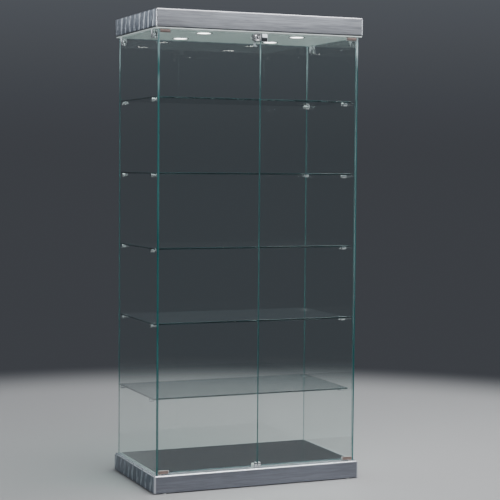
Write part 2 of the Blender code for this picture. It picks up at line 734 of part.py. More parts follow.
def lock_cam(turning, cam_front, cam_back):
    """The hooked cam, hanging straight down while the lock is open."""
    nose_top = LOCK_Z - CAM_REACH + CAM_NOSE
    nose_x = LOCK_X + CAM_HALF_WIDTH + CAM_NOSE
    outline = [
        (LOCK_X - CAM_HALF_WIDTH, LOCK_Z - CAM_REACH),
        (nose_x, LOCK_Z - CAM_REACH),
        (nose_x, nose_top),
        (LOCK_X + CAM_HALF_WIDTH, nose_top),
    ]
    start = math.asin(CAM_HALF_WIDTH / CAM_HUB_RADIUS) - math.pi / 2
    outline += arc((LOCK_X, LOCK_Z), CAM_HUB_RADIUS, start, math.pi - start, 14)
    cam = add_node(
        "lock_cam",
        prism(outline, cam_front, cam_back, lambda a, b, c: (a, c, b)),
        "zinc_steel",
        origin=(LOCK_X, DOOR_Y, LOCK_Z),
    )
    hang_on_lock(cam, turning)
    half = SQUARE_HALF + GAP
    over = 0.005
    low = (LOCK_X - half, cam_front - over, LOCK_Z - half)
    hole = block(low, (LOCK_X + half, cam_back + over, LOCK_Z + half))
    combine(cam, add_cutter("cam_square", hole), "DIFFERENCE")


def lock_keeper(right_pivot, face, rear, cam_front, cam_back):
    """The keeper clasps the right door's top edge, and its cup takes the cam's nose from below."""
    left, right = DOOR_INNER_X + GAP, KEEPER_RIGHT_X
    top = LOCK_Z + LOCK_HALF_HEIGHT
    bottom = LOCK_Z - LOCK_HALF_HEIGHT
    over = 0.005
    keeper = add_node(
        "lock_keeper",
        block((left, face - KEEPER_THICKNESS, bottom), (right, face, top)),
        "chrome",
        origin=(left, DOOR_Y, LOCK_Z),
        pivot=right_pivot,
        smooth=True,
    )
    soften(keeper, 0.0016, segments=3)
    web_top = top - GAP
    web = block((left, face - 0.0030, DOOR_TOP + GAP), (CUP_RIGHT_X + CUP_WALL, rear + 0.001, web_top))
    combine(keeper, add_cutter("keeper_web", web, right_pivot), "UNION")
    mouth = LOCK_Z - CUP_DEPTH
    far = cam_back + CUP_PLAY
    body = block((left, rear, mouth), (CUP_RIGHT_X + CUP_WALL, far + CUP_WALL, web_top - GAP))
    combine(keeper, add_cutter("keeper_body", body, right_pivot), "UNION")
    near = cam_front - CUP_PLAY
    roof = LOCK_Z + CAM_HALF_WIDTH + CAM_NOSE + CUP_PLAY
    cup = block((CUP_LEFT_X, near, mouth - over), (CUP_RIGHT_X, far, roof))
    combine(keeper, add_cutter("keeper_cup", cup, right_pivot), "DIFFERENCE")
    arm_roof = LOCK_Z + CAM_HALF_WIDTH + 0.0008
    passage = block((left - over, near, mouth - over), (CUP_LEFT_X + 0.0005, far, arm_roof))
    combine(keeper, add_cutter("keeper_passage", passage, right_pivot), "DIFFERENCE")


# ---------------------------------------------------------------- lighting
def downlights():
    """Recessed cans with a bezel under the ceiling, rebated for the lens."""
    can_top = CEILING + CAN_HEIGHT
    seat = CEILING - 0.0005
    lip = CEILING - BEZEL_DROP
    bore = CAN_RADIUS - CAN_WALL
    profile = [
        (BEZEL_RADIUS, CEILING - GAP),
        (BEZEL_RADIUS, CEILING - BEZEL_DROP / 2),
        (BEZEL_RADIUS - BEZEL_DROP / 2, lip),
        (LENS_RADIUS, lip),
        (LENS_RADIUS, seat),
        (bore, seat),
        (bore, can_top - CAN_WALL),
        (FLEX_RADIUS, can_top - CAN_WALL),
        (FLEX_RADIUS, can_top),
        (CAN_RADIUS, can_top),
        (CAN_RADIUS, CEILING - GAP),
    ]
    for x, y in corners(LIGHT_X, LIGHT_Y):
        can = moved(turned(profile, 28, closed=True), Matrix.Translation((x, y, 0)))
        add_node(f"downlight_{place_name(x, y)}", can, "chrome", origin=(x, y, CEILING), smooth=True)


def main():
    clear_scene()
    plinth()
    canopy()
    fixed_glass()
    glass_brackets()
    shelves()
    leaves = doors()
    door_catch()
    left_pivot, left_leaf = leaves["left"]
    right_pivot, _ = leaves["right"]
    lock(left_pivot, left_leaf, right_pivot)
    downlights()


main()
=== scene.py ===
"""The looks of a free-standing glass display cabinet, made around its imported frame.

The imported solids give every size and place. Panes, boards and small fittings whose shape is already
right keep their solid and get a finish here. Boards with rounded edges, shelf pegs, lamps, screws,
liners and bushes are surfaces worked out with numpy. Metres, +Z up, and the doors face -Y.
"""

from __future__ import annotations

import logging
import math
from dataclasses import dataclass, field
from enum import Enum
from typing import Sequence

import bmesh
import bpy
import numpy as np
from mathutils import Matrix, Vector


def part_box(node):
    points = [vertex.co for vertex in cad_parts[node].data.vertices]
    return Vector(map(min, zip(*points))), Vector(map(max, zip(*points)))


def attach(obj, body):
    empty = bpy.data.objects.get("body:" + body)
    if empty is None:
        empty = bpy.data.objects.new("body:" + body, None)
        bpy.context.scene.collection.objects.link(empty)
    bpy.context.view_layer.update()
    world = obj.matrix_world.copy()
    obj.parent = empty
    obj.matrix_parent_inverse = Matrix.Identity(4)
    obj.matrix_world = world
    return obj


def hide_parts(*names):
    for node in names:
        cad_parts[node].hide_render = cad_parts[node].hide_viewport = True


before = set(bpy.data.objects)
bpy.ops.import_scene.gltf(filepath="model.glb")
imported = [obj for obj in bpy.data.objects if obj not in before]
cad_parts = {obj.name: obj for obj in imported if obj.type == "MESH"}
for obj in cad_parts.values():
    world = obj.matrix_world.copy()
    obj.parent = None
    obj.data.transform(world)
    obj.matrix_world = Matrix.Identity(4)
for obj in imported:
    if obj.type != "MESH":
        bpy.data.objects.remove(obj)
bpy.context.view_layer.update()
log = logging.getLogger("cabinet")

PLACES = ("front_left", "front_right", "back_left", "back_right")
TOUCH = 0.0003  # the gap that solids which touch keep

Colour = tuple[float, float, float]


class Body(Enum):
    """The rigid bodies that a piece can ride on."""

    CABINET = "cabinet"
    LEFT_DOOR = "left_door"
    RIGHT_DOOR = "right_door"
    LOCK = "lock"


class Slot(Enum):
    """The record's material slots, by name."""

    LAMINATE = "silver_laminate"
    CHROME = "chrome"
    NICKEL = "warm_nickel"
    ZINC = "zinc_steel"
    PLASTIC = "white_plastic"


# ---------------------------------------------------------------- shader expressions
class Wire:
    """A number in a shader: an output socket whose arithmetic adds Math nodes."""

    def __init__(self, tree: "Tree", socket: bpy.types.NodeSocket) -> None:
        """Keep the tree and the socket that carries the number."""
        self.tree = tree
        self.socket = socket

    def __add__(self, other: "Wire | float") -> "Wire":
        """Sum."""
        return self.tree.maths("ADD", self, other)

    __radd__ = __add__

    def __sub__(self, other: "Wire | float") -> "Wire":
        """Difference."""
        return self.tree.maths("SUBTRACT", self, other)

    def __rsub__(self, other: float) -> "Wire":
        """Difference from a plain number."""
        return self.tree.maths("SUBTRACT", other, self)

    def __mul__(self, other: "Wire | float") -> "Wire":
        """Product."""
        return self.tree.maths("MULTIPLY", self, other)

    __rmul__ = __mul__

    def __abs__(self) -> "Wire":
        """Size without sign."""
        return self.tree.maths("ABSOLUTE", self)

    def most(self, other: "Wire | float") -> "Wire":
        """The larger of two numbers."""
        return self.tree.maths("MAXIMUM", self, other)

    def above(self, edge: float) -> "Wire":
        """1 where the number is above the edge, and 0 elsewhere."""
        return self.tree.maths("GREATER_THAN", self, edge)

    def ease(self, low: float, high: float) -> "Wire":
        """A smooth rise from 0 at low to 1 at high.

        Args:
            low: The number at which the rise starts.
            high: The number at which it ends.

        Returns:
            The eased number, between 0 and 1.
        """
        sockets = {"Value": self, "From Min": low, "From Max": high}
        made = self.tree.node("ShaderNodeMapRange", {"interpolation_type": "SMOOTHSTEP"}, sockets)
        return Wire(self.tree, made.outputs["Result"])


class Graph:
    """A material's or a world's nodes, which all come from one method."""

    def __init__(self, owner: bpy.types.Material | bpy.types.World) -> None:
        """Turn the owner's nodes on and keep them."""
        owner.use_nodes = True
        self.nodes, self.links = owner.node_tree.nodes, owner.node_tree.links

    def node(
        self,
        kind: str,
        settings: dict[str, object] | None = None,
        sockets: dict[str | int, object] | None = None,
    ) -> bpy.types.Node:
        """Add one node.

        Args:
            kind: Blender's type name of the node.
            settings: Properties, which are set first. "stops" is a ramp's list of (position, colour).
            sockets: Values, wires or sockets for its inputs, by name or by number.

        Returns:
            The node.
        """
        made = self.nodes.new(kind)
        for key, value in (settings or {}).items():
            if key == "stops":
                made.color_ramp.interpolation = "EASE"
                for stop, (position, colour) in zip(made.color_ramp.elements, value):
                    stop.position, stop.color = position, (*colour, 1.0)
            else:
                setattr(made, key, value)
        for key, value in (sockets or {}).items():
            self.feed(made.inputs[key], value)
        return made

    def feed(self, target: bpy.types.NodeSocket, value: object) -> None:
        """Link a wire or socket to an input, or set its plain value.

        Args:
            target: The input.
            value: A wire, a socket or a plain value.
        """
        if isinstance(value, Wire):
            value = value.socket
        if isinstance(value, bpy.types.NodeSocket):
            self.links.new(value, target)
        else:
            target.default_value = value


class Tree(Graph):
    """One material's nodes, joined by expressions."""

    def __init__(self, name: str) -> None:
        """Start a material with its Principled shader.

        Args:
            name: The material's name.
        """
        self.material = bpy.data.materials.new(name)
        super().__init__(self.material)
        self.shader = self.nodes["Principled BSDF"]
        self.place = self.node("ShaderNodeTexCoord").outputs["Object"]
        axes = self.node("ShaderNodeSeparateXYZ", {}, {0: self.place}).outputs
        self.x, self.y, self.z = (Wire(self, socket) for socket in axes)

    def maths(self, operation: str, *values: "Wire | float") -> Wire:
        """A Math node on wires or numbers."""
        made = self.node("ShaderNodeMath", {"operation": operation}, dict(enumerate(values)))
        return Wire(self, made.outputs[0])

    def stretched(self, x: float, y: float, z: float) -> bpy.types.NodeSocket:
        """The object's coordinates, each multiplied by its own scale."""
        made = self.node("ShaderNodeVectorMath", {"operation": "MULTIPLY"}, {0: self.place, 1: (x, y, z)})
        return made.outputs["Vector"]

    def noise(
        self, x: float, y: float, z: float, detail: float = 2.0, rough: float = 0.5, twist: float = 0.0
    ) -> Wire:
        """Noise on the object's coordinates.

        Args:
            x: Waves for each metre along X, and likewise y and z.
            y: As x, along Y.
            z: As x, along Z.
            detail: Octaves.
            rough: How strong the finer octaves are.
            twist: How far the pattern is pushed about.

        Returns:
            The noise, about 0.5.
        """
        sockets = {
            "Vector": self.stretched(x, y, z), "Scale": 1.0, "Detail": detail, "Roughness": rough,
            "Distortion": twist,
        }
        return Wire(self, self.node("ShaderNodeTexNoise", {}, sockets).outputs["Fac"])

    def noise_at(self, x: Wire, y: Wire, z: Wire, detail: float = 2.0, rough: float = 0.5) -> Wire:
        """Noise at a point made of three wires.

        Args:
            x: The point's first coordinate, in waves, and likewise y and z.
            y: Its second coordinate.
            z: Its third coordinate.
            detail: Octaves.
            rough: How strong the finer octaves are.

        Returns:
            The noise, about 0.5.
        """
        point = self.node("ShaderNodeCombineXYZ", {}, {0: x, 1: y, 2: z}).outputs[0]
        sockets = {"Vector": point, "Scale": 1.0, "Detail": detail, "Roughness": rough}
        return Wire(self, self.node("ShaderNodeTexNoise", {}, sockets).outputs["Fac"])

    def mixed(self, share: Wire, first: object, second: object) -> bpy.types.NodeSocket:
        """Mix two colours.

        Args:
            share: 0 for the first colour, and 1 for the second.
            first: A colour, as three numbers or a socket.
            second: The other colour.

        Returns:
            The mixed colour's socket.
        """
        ends = [(*end, 1.0) if isinstance(end, tuple) else end for end in (first, second)]
        sockets = {0: share, 6: ends[0], 7: ends[1]}
        return self.node("ShaderNodeMix", {"data_type": "RGBA"}, sockets).outputs[2]

    def bump(self, height: Wire, distance: float, strength: float = 1.0) -> bpy.types.NodeSocket:
        """A normal that follows a height given as a share of the distance in metres."""
        sockets = {"Height": height, "Distance": distance, "Strength": strength}
        return self.node("ShaderNodeBump", {}, sockets).outputs["Normal"]

    def principled(self, values: dict[str, object], shader: bpy.types.Node | None = None) -> bpy.types.Node:
        """Set a Principled shader's inputs.

        Args:
            values: Values, wires or sockets by input name. A colour is three numbers.
            shader: The shader to set, or the material's first one.

        Returns:
            The shader.
        """
        shader = shader or self.shader
        for key, value in values.items():
            colour = isinstance(value, tuple) and len(value) == 3
            self.feed(shader.inputs[key], (*value, 1.0) if colour else value)
        return shader

    def shown(self, shader: bpy.types.NodeSocket) -> bpy.types.Material:
        """Send a shader to the material's surface, and give the material."""
        self.links.new(shader, self.nodes["Material Output"].inputs["Surface"])
        return self.material


# ---------------------------------------------------------------- finishes
@dataclass(frozen=True)
class Laminate:
    """Silver laminate, brushed along the cabinet; its ends are painted darker as shade with wavy painted
    glints along the grain, and its top and rounded corners get a painted highlight.
    """

    dark: Colour = (0.255, 0.258, 0.278)
    light: Colour = (0.50, 0.505, 0.535)
    # Painted shade and glints on the end faces: a dark ground, and a light colour for the bright lines.
    end_shade_dark: Colour = (0.060, 0.078, 0.110)
    end_shade_middle: Colour = (0.130, 0.158, 0.205)
    end_glint: Colour = (0.86, 0.92, 1.0)
    end_share: float = 1.0
    # Painted highlight on the plinth's top: its colour, the heights where it rises, and how strong it is.
    painted_highlight: Colour = (0.88, 0.90, 0.95)
    ledge_highlight_from: tuple[float, float] = (0.0655, 0.0700)
    ledge_highlight_share: float = 0.0
    metal: float = 0.75
    end_start: float = 0.4368
    end_full: float = 0.4392
    # Painted highlight on the rounded upright corners: where it rises, and how strong it is.
    corner_highlight_from: tuple[float, float] = (0.6866, 0.6884)
    corner_highlight_share: float = 0.85
    pitch: float = 0.056
    lean: float = 0.16
    sway: float = 0.052

    def glint_streaks(self, tree: Tree) -> tuple[Wire, Wire]:
        """The ends' pattern: bright wavy lines one pitch apart, which are painted glints along the grain,
        and a cloudy ground.

        A line is where the sine of the leaning, noise-bent depth comes near 1. Noise drawn out along the
        lean breaks the lines up and adds finer ones between them.

        Args:
            tree: The material's nodes.

        Returns:
            The lines and the ground, each from 0 to 1.
        """
        depth = tree.y + tree.z * self.lean
        bend = (tree.noise(1, 12, 13, 3, 0.55) - 0.5) * self.sway
        wave = tree.maths("SINE", (depth + bend) * (2 * math.pi / self.pitch))
        broken = tree.noise_at(tree.x, depth * 75, tree.z * 21, 3, 0.6)
        fine = tree.noise_at(tree.x, depth * 190, tree.z * 12, 3, 0.6)
        lines = wave.ease(0.35, 0.95) * broken.ease(0.34, 0.58) + fine.ease(0.54, 0.70) * 0.55
        ground = tree.noise_at(tree.x, depth * 46, tree.z * 9, 3, 0.6).ease(0.36, 0.64)
        return lines, ground

    def material(self, name: str) -> bpy.types.Material:
        """Make the finish.

        Args:
            name: The material's name.

        Returns:
            A brushed metal whose roughness and normal follow the grain, and whose colour follows it too,
            with painted shade and glints on the ends and a painted highlight on the plinth's top and the
            rounded corners.
        """
        tree = Tree(name)
        hairline = tree.noise(9, 620, 620, 3, 0.65)
        ripple = tree.noise(6, 60, 130, 3, 0.6, 1.2)
        cloud = tree.noise(2.2, 2.2, 9, 2)
        lines, ground = self.glint_streaks(tree)
        # The end faces, painted darker as shade, whose bright lines are painted glints along the grain.
        end = abs(tree.x).ease(self.end_start, self.end_full)
        grain = hairline * 0.42 + ripple * 0.40 + cloud * 0.18
        along = tree.mixed(grain.ease(0.36, 0.64), self.dark, self.light)
        base = tree.mixed(ground * (0.35 + 0.65 * self.end_share), self.end_shade_dark, self.end_shade_middle)
        painted_end_colour = tree.mixed(lines * self.end_share, base, self.end_glint)
        sides = tree.mixed(end, along, painted_end_colour)
        # The painted highlight's mask: the rounded upright corners, and the top band on the next line.
        corner = (abs(tree.x) + abs(tree.y)).ease(*self.corner_highlight_from) * self.corner_highlight_share
        top = (tree.z.ease(*self.ledge_highlight_from) * self.ledge_highlight_share).most(corner)
        rough = 0.33 + (hairline - 0.5) * 0.16 + end * 0.05 - lines * end * 0.08 - top * 0.08
        height = (hairline * 0.6 + ripple * 0.4) * (1 - end) + lines * end
        tree.principled({
            "Base Color": tree.mixed(top, sides, self.painted_highlight),
            "Metallic": self.metal,
            "Roughness": rough,
            "Normal": tree.bump(height, 0.00006, 0.35),
            "Coat Weight": 0.12,
            "Coat Roughness": 0.25,
        })
        return tree.material


@dataclass(frozen=True)
class Lacquer:
    """White lacquer on the ceiling panel, whose edge faces are painted dark as shade, and whose face has a
    faint painted glow standing in for lamp light falling on it.
    """

    colour: Colour = (0.86, 0.905, 0.885)
    # The edge faces' colour: painted shade.
    edge: Colour = (0.055, 0.056, 0.062)
    # Colour of the face's painted glow, which stands in for lamp light falling on the ceiling.
    painted_spill: Colour = (0.72, 0.92, 0.86)
    half_x: float = 0.437
    half_y: float = 0.252
    edge_start: float = 1.7935
    rim: float = 0.0006
    # Strength of that painted glow.
    glow: float = 0.16

    def material(self, name: str) -> bpy.types.Material:
        """Make the finish, with a fine orange peel, a dark edge band of painted shade and a faint painted
        glow.

        Args:
            name: The material's name.

        Returns:
            The lacquer.
        """
        tree = Tree(name)
        # The edge faces below the laminate, painted dark as shade.
        side = abs(tree.x).above(self.half_x - self.rim).most(abs(tree.y).above(self.half_y - self.rim))
        edge = side * tree.z.above(self.edge_start)
        cloud = tree.noise(3, 3, 3, 2)
        peel = tree.noise(320, 320, 320, 2, 0.5)
        face = tree.mixed(cloud.ease(0.3, 0.7), tuple(c * 0.95 for c in self.colour), self.colour)
        # The edge band's dark colour is painted shade; the emission is the face's painted glow.
        tree.principled({
            "Base Color": tree.mixed(edge, face, self.edge),
            "Roughness": 0.30 + peel * 0.10 + edge * 0.3,
            "Emission Color": tree.mixed(edge, self.painted_spill, (0.0, 0.0, 0.0)),
            "Emission Strength": self.glow,
            "Normal": tree.bump(peel, 0.00003, 0.3),
            "Coat Weight": 0.3,
            "Coat Roughness": 0.12,
        })
        return tree.material


@dataclass(frozen=True)
class Glass:
    """Clear float glass with polished green edges, dressed for one pane's own limits; the edges carry
    painted highlights and a painted glow.
    """

    tint: Colour = (0.930, 0.972, 0.960)
    edge_deep: Colour = (0.004, 0.060, 0.060)
    edge_pale: Colour = (0.062, 0.195, 0.195)
    # Painted light on the edges: a highlight colour, the strength of their glow, and the heights over which
    # the highlight rises.
    painted_edge_highlight: Colour = (0.72, 0.90, 0.92)
    painted_edge_glow: float = 0.24
    highlight_from: tuple[float, float] = (1.50, 1.80)
    arris: float = 0.0006

    def material(self, name: str, node: str) -> bpy.types.Material:
        """Make the finish of one pane.

        Args:
            name: The material's name.
            node: The pane's node, whose thinnest side is the glass's thickness.

        Returns:
            Glass that lamps shine through, with a mask for its four edge faces.
        """
        tree = Tree(name)
        low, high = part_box(node)
        size = high - low
        axes = (tree.x, tree.y, tree.z)
        thin = min(range(3), key=lambda axis: size[axis])
        edge: Wire | float = 0.0
        for axis, wire in enumerate(axes):
            if axis != thin:
                middle = (low[axis] + high[axis]) / 2
                rim = abs(wire - middle).above(size[axis] / 2 - self.arris)
                edge = rim.most(edge)
        drift = tree.noise(2.4, 2.4, 2.4, 2)
        # Deep green in the middle of the edge, paler towards one arris: the green is the glass's own, the
        # pale line a painted highlight.
        line = (axes[thin] - (low[thin] + high[thin]) / 2).ease(0.0012, size[thin] / 2)
        shade = drift.ease(0.35, 0.68) * 0.30 + line * 0.70
        # Painted highlight on the edges, stronger towards the top.
        painted_glint = tree.noise(30, 30, 5, 3, 0.6).ease(0.42, 0.62) * tree.z.ease(*self.highlight_from)
        band = tree.mixed(painted_glint * 0.70, tree.mixed(shade, self.edge_deep, self.edge_pale), self.painted_edge_highlight)
        smear = tree.noise(9, 9, 3.5, 4, 0.6, 0.7).ease(0.52, 0.80)
        tree.principled({
            "Base Color": self.tint,
            "Transmission Weight": 1.0,
            "IOR": 1.5,
            "Roughness": smear * 0.012,
        })
        # The edge faces: the glass's green with painted highlights, and a painted glow as emission.
        rim_shader = tree.principled({
            "Base Color": band,
            "Roughness": 0.10 + drift * 0.12,
            "Emission Color": band,
            "Emission Strength": self.painted_edge_glow,
            "Coat Weight": 0.4,
            "Coat Roughness": 0.05,
        }, tree.node("ShaderNodeBsdfPrincipled"))
        pane = tree.node("ShaderNodeMixShader", {}, {
            0: edge, 1: tree.shader.outputs[0], 2: rim_shader.outputs[0]})
        lamp_side = tree.node("ShaderNodeBsdfTransparent", {}, {0: (*self.tint, 1.0)})
        ray = tree.node("ShaderNodeLightPath").outputs["Is Shadow Ray"]
        whole = tree.node("ShaderNodeMixShader", {}, {0: ray, 1: pane.outputs[0], 2: lamp_side.outputs[0]})
        return tree.shown(whole.outputs[0])


@dataclass(frozen=True)
class Mirror:
    """Smoked mirror with bright ground edges on its sides and back, and a trace of dust."""

    colour: Colour = (0.085, 0.108, 0.122)
    edge: Colour = (0.52, 0.62, 0.60)
    rim: float = 0.0012

    def material(self, name: str, node: str) -> bpy.types.Material:
        """Make the finish of one panel.

        Args:
            name: The material's name.
            node: The panel's node.

        Returns:
            The mirror.
        """
        tree = Tree(name)
        low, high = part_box(node)
        middle, half = (low + high) / 2, (high - low) / 2
        beyond_x = abs(tree.x - middle.x).above(half.x - self.rim)
        beyond_y = (tree.y - middle.y).above(half.y - self.rim)
        edge = beyond_x.most(beyond_y)
        dust = tree.noise(420, 420, 420, 2, 0.7).ease(0.66, 0.84)
        wipe = tree.noise(5, 14, 5, 3, 0.6, 1.2).ease(0.45, 0.8)
        face = tree.mixed(dust * 0.16, self.colour, (0.5, 0.5, 0.5))
        tree.principled({
            "Base Color": tree.mixed(edge, face, self.edge),
            "Metallic": 1 - edge * 0.7,
            "Roughness": 0.025 + wipe * 0.03 + dust * 0.10 + edge * 0.3,
        })
        return tree.material


@dataclass(frozen=True)
class Metal:
    """A solid metal finish, polished or brushed."""

    colour: Colour
    rough: float
    lines: tuple[float, float, float] = (600.0, 600.0, 600.0)
    depth: float = 0.00002
    coat: float = 0.0

    def material(self, name: str) -> bpy.types.Material:
        """Make the finish, with fine lines, a cloudy wear and pin scratches.

        Args:
            name: The material's name.

        Returns:
            The metal.
        """
        tree = Tree(name)
        line = tree.noise(*self.lines, 3, 0.6)
        wear = tree.noise(70, 70, 70, 3, 0.55)
        scratch = tree.noise(2600, 240, 900, 2, 0.5, 0.4).ease(0.62, 0.75)
        dull = tuple(c * 0.80 for c in self.colour)
        tree.principled({
            "Base Color": tree.mixed(wear.ease(0.35, 0.7), dull, self.colour),
            "Metallic": 1.0,
            "Roughness": self.rough + wear * 0.06 + scratch * 0.10,
            "Normal": tree.bump(line + scratch * 0.5, self.depth, 0.4),
            "Coat Weight": self.coat,
        })
        return tree.material


@dataclass(frozen=True)
class Plastic:
    """Moulded plastic with a fine spark-eroded grain."""

    colour: Colour
    rough: float = 0.45
    clear: float = 0.0

    def material(self, name: str) -> bpy.types.Material:
        """Make the finish.

        Args:
            name: The material's name.

        Returns:
            The plastic, clear where its share of clearness is above 0.
        """
        tree = Tree(name)
        grain = tree.noise(1500, 1500, 1500, 2, 0.6)
        flow = tree.noise(40, 40, 160, 2, 0.5, 0.5)
        tree.principled({
            "Base Color": tree.mixed(flow.ease(0.3, 0.7), tuple(c * 0.90 for c in self.colour), self.colour),
            "Roughness": self.rough + grain * 0.12 - 0.06,
            "Normal": tree.bump(grain, 0.00003, 0.35),
            "Transmission Weight": self.clear,
            "IOR": 1.49,
        })
        return tree.material


@dataclass(frozen=True)
class LampGlow:
    """A lit, frosted lens, brightest at its middle."""

    middle: tuple[float, float]
    radius: float
    colour: Colour = (1.0, 0.985, 0.95)
    rim: Colour = (0.62, 0.66, 0.66)
    strength: float = 9.0

    def material(self, name: str) -> bpy.types.Material:
        """Make the finish from the distance to the lens's middle.

        Args:
            name: The material's name.

        Returns:
            The glowing lens.
        """
        tree = Tree(name)
        away_x, away_y = tree.x - self.middle[0], tree.y - self.middle[1]
        away = tree.maths("SQRT", away_x * away_x + away_y * away_y)
        frost = tree.noise(900, 900, 900, 2, 0.6)
        glow = 1 - away.ease(self.radius * 0.70, self.radius)
        tree.principled({
            "Base Color": (0.86, 0.88, 0.88),
            "Roughness": 0.30 + frost * 0.2,
            "Emission Color": tree.mixed(glow, tuple(c * 0.25 for c in self.rim), self.colour),
            "Emission Strength": self.strength,
            "Normal": tree.bump(frost, 0.00004, 0.3),
        })
        return tree.material


# ---------------------------------------------------------------- surfaces
@dataclass
class Surface:
    """Points and faces of one or more closed shells."""

    points: np.ndarray
    faces: list[tuple[int, ...]]

    def placed(self, matrix: Matrix) -> "Surface":
        """The surface after a 4 by 4 move."""
        m = np.array(matrix, float)
        return Surface(self.points @ m[:3, :3].T + m[:3, 3], self.faces)

    def mesh(self, name: str) -> bpy.types.Mesh:
        """Make the surface a mesh.

        Args:
            name: The mesh's name.

        Returns:
            The mesh.
        """
        made = bpy.data.meshes.new(name)
        made.from_pydata(self.points.tolist(), [], self.faces)
        return made


def filleted(corners: Sequence[tuple[float, float]], radii: Sequence[float], steps: int = 6) -> np.ndarray:
    """Round the corners of a closed outline.

    At a corner P with unit vectors u and v to its neighbours and half angle h, the arc of radius r has
    its centre at P + (u + v) / |u + v| * r / sin h, and runs between P + u r / tan h and P + v r / tan h.

    Args:
        corners: The outline's corners in order.
        radii: Each corner's radius.
        steps: Pieces in each arc.

    Returns:
        The outline's points, as an array of (a, b).
    """
    points = np.asarray(corners, float)
    made = []
    for i, (corner, radius) in enumerate(zip(points, radii)):
        back, ahead = points[i - 1] - corner, points[(i + 1) % len(points)] - corner
        u, v = back / np.linalg.norm(back), ahead / np.linalg.norm(ahead)
        half = math.acos(float(np.clip(u @ v, -1, 1))) / 2
        if radius <= 0 or half > math.pi / 2 - 1e-3:
            made.append(corner[None])
            continue
        centre = corner + (u + v) / np.linalg.norm(u + v) * radius / math.sin(half)
        start = corner + u * radius / math.tan(half) - centre
        end = corner + v * radius / math.tan(half) - centre
        sweep = math.pi - 2 * half
        t = np.linspace(0, 1, steps + 1)[:, None]
        made.append(centre + (np.sin((1 - t) * sweep) * start + np.sin(t * sweep) * end) / math.sin(sweep))
    return np.vstack(made)


def shell(rings: np.ndarray, closed: bool = False) -> Surface:
    """Join closed rings of points, given as (row, column, xyz).

    Each column joins its neighbour, and the last joins the first. The end rows get one flat face each,
    or join each other when the rows close.

    Args:
        rings: The rings of points.
        closed: Whether the last row joins the first.

    Returns:
        The surface.
    """
    rows, columns = rings.shape[:2]
    index = np.arange(rows * columns).reshape(rows, columns)
    near = index if closed else index[:-1]
    far = np.roll(index, -1, axis=0) if closed else index[1:]
    quads = np.stack([near, np.roll(near, -1, axis=1), np.roll(far, -1, axis=1), far], axis=-1)
    faces = [tuple(quad) for quad in quads.reshape(-1, 4).tolist()]
    if not closed:
        faces += [tuple(index[0][::-1].tolist()), tuple(index[-1].tolist())]
    return Surface(rings.reshape(-1, 3), faces)


def lathe(profile: np.ndarray, segments: int, closed: bool = False) -> Surface:
    """Turn a profile about +Z.

    The point at angle a of profile point (r, h) is (r cos a, r sin a, h).

    Args:
        profile: Rows of (radius, height).
        segments: Steps round the circle.
        closed: Whether the profile is a closed outline, which makes a ring.

    Returns:
        The surface.
    """
    angle = np.linspace(0, 2 * math.pi, segments, endpoint=False)
    radius, height = profile[:, :1], profile[:, 1:]
    x, y = radius * np.cos(angle), radius * np.sin(angle)
    return shell(np.stack([x, y, np.broadcast_to(height, x.shape)], axis=-1), closed)


def carried(outline: np.ndarray, stations: np.ndarray, order: tuple[int, int, int]) -> Surface:
    """Carry an outline straight along one direction.

    Args:
        outline: Rows of (a, b).
        stations: Distances along the direction.
        order: Which of (a, b, distance) goes to X, to Y and to Z.

    Returns:
        The closed surface.
    """
    count = len(outline)
    rings = np.empty((len(stations), count, 3))
    rings[..., :2] = outline
    rings[..., 2] = np.asarray(stations)[:, None]
    return shell(rings[..., list(order)])


def board_ring(low: Vector, high: Vector, corner: float, profile: np.ndarray, steps: int = 10) -> Surface:
    """Carry a board's section round a rectangle with rounded corners.

    A section point (d, z) lies d inside the outline. In the quarter with signs (sx, sy) its corner is
    c + (corner - d) (cos a, sin a) while d is less than the corner radius, and the sharp point
    c + (corner - d) (sx, sy) further in, where c is the arc's centre.

    Args:
        low: The ring's lowest corner.
        high: The ring's highest corner.
        corner: The radius of the outer corners.
        profile: The closed section, as rows of (inset, height).
        steps: Pieces in each corner's arc.

    Returns:
        The closed ring.
    """
    middle, half = (low + high) / 2, (high - low) / 2
    quarters = np.repeat(np.arange(4), steps + 1)
    angle = math.pi / 2 * (quarters + np.tile(np.linspace(0, 1, steps + 1), 4))
    sign_x = np.array([1, -1, -1, 1])[quarters]
    sign_y = np.array([1, 1, -1, -1])[quarters]
    left = corner - profile[:, :1]
    reach_x = np.where(left > 0, left * np.cos(angle), left * sign_x)
    reach_y = np.where(left > 0, left * np.sin(angle), left * sign_y)
    x = middle.x + sign_x * (half.x - corner) + reach_x
    y = middle.y + sign_y * (half.y - corner) + reach_y
    z = np.broadcast_to(profile[:, 1:], x.shape)
    return shell(np.stack([x, y, z], axis=-1), closed=True)


# ---------------------------------------------------------------- pieces
def linked(name: str, data: bpy.types.ID) -> bpy.types.Object:
    """Put data into the scene as an object.

    Args:
        name: The object's name.
        data: A mesh, a light or a camera.

    Returns:
        The object.
    """
    made = bpy.data.objects.new(name, data)
    bpy.context.scene.collection.objects.link(made)
    return made


def piece(
    name: str,
    surface: Surface,
    body: Body,
    material: bpy.types.Material,
    stands_for: Sequence[str] = (),
    bevel: float = 0.0,
    smooth: float = 32.0,
) -> bpy.types.Object:
    """Make one shown piece.

    Args:
        name: The piece's name.
        surface: Its surface, in the cabinet's own frame.
        body: The body it rides on.
        material: Its finish.
        stands_for: The nodes that it is shown in place of.
        bevel: The width of a Bevel on its sharp edges, or 0.
        smooth: Edges that turn by less than this many degrees are shaded smooth.

    Returns:
        The object.
    """
    return settled(name, surface.mesh(name), body, material, stands_for, bevel, smooth)


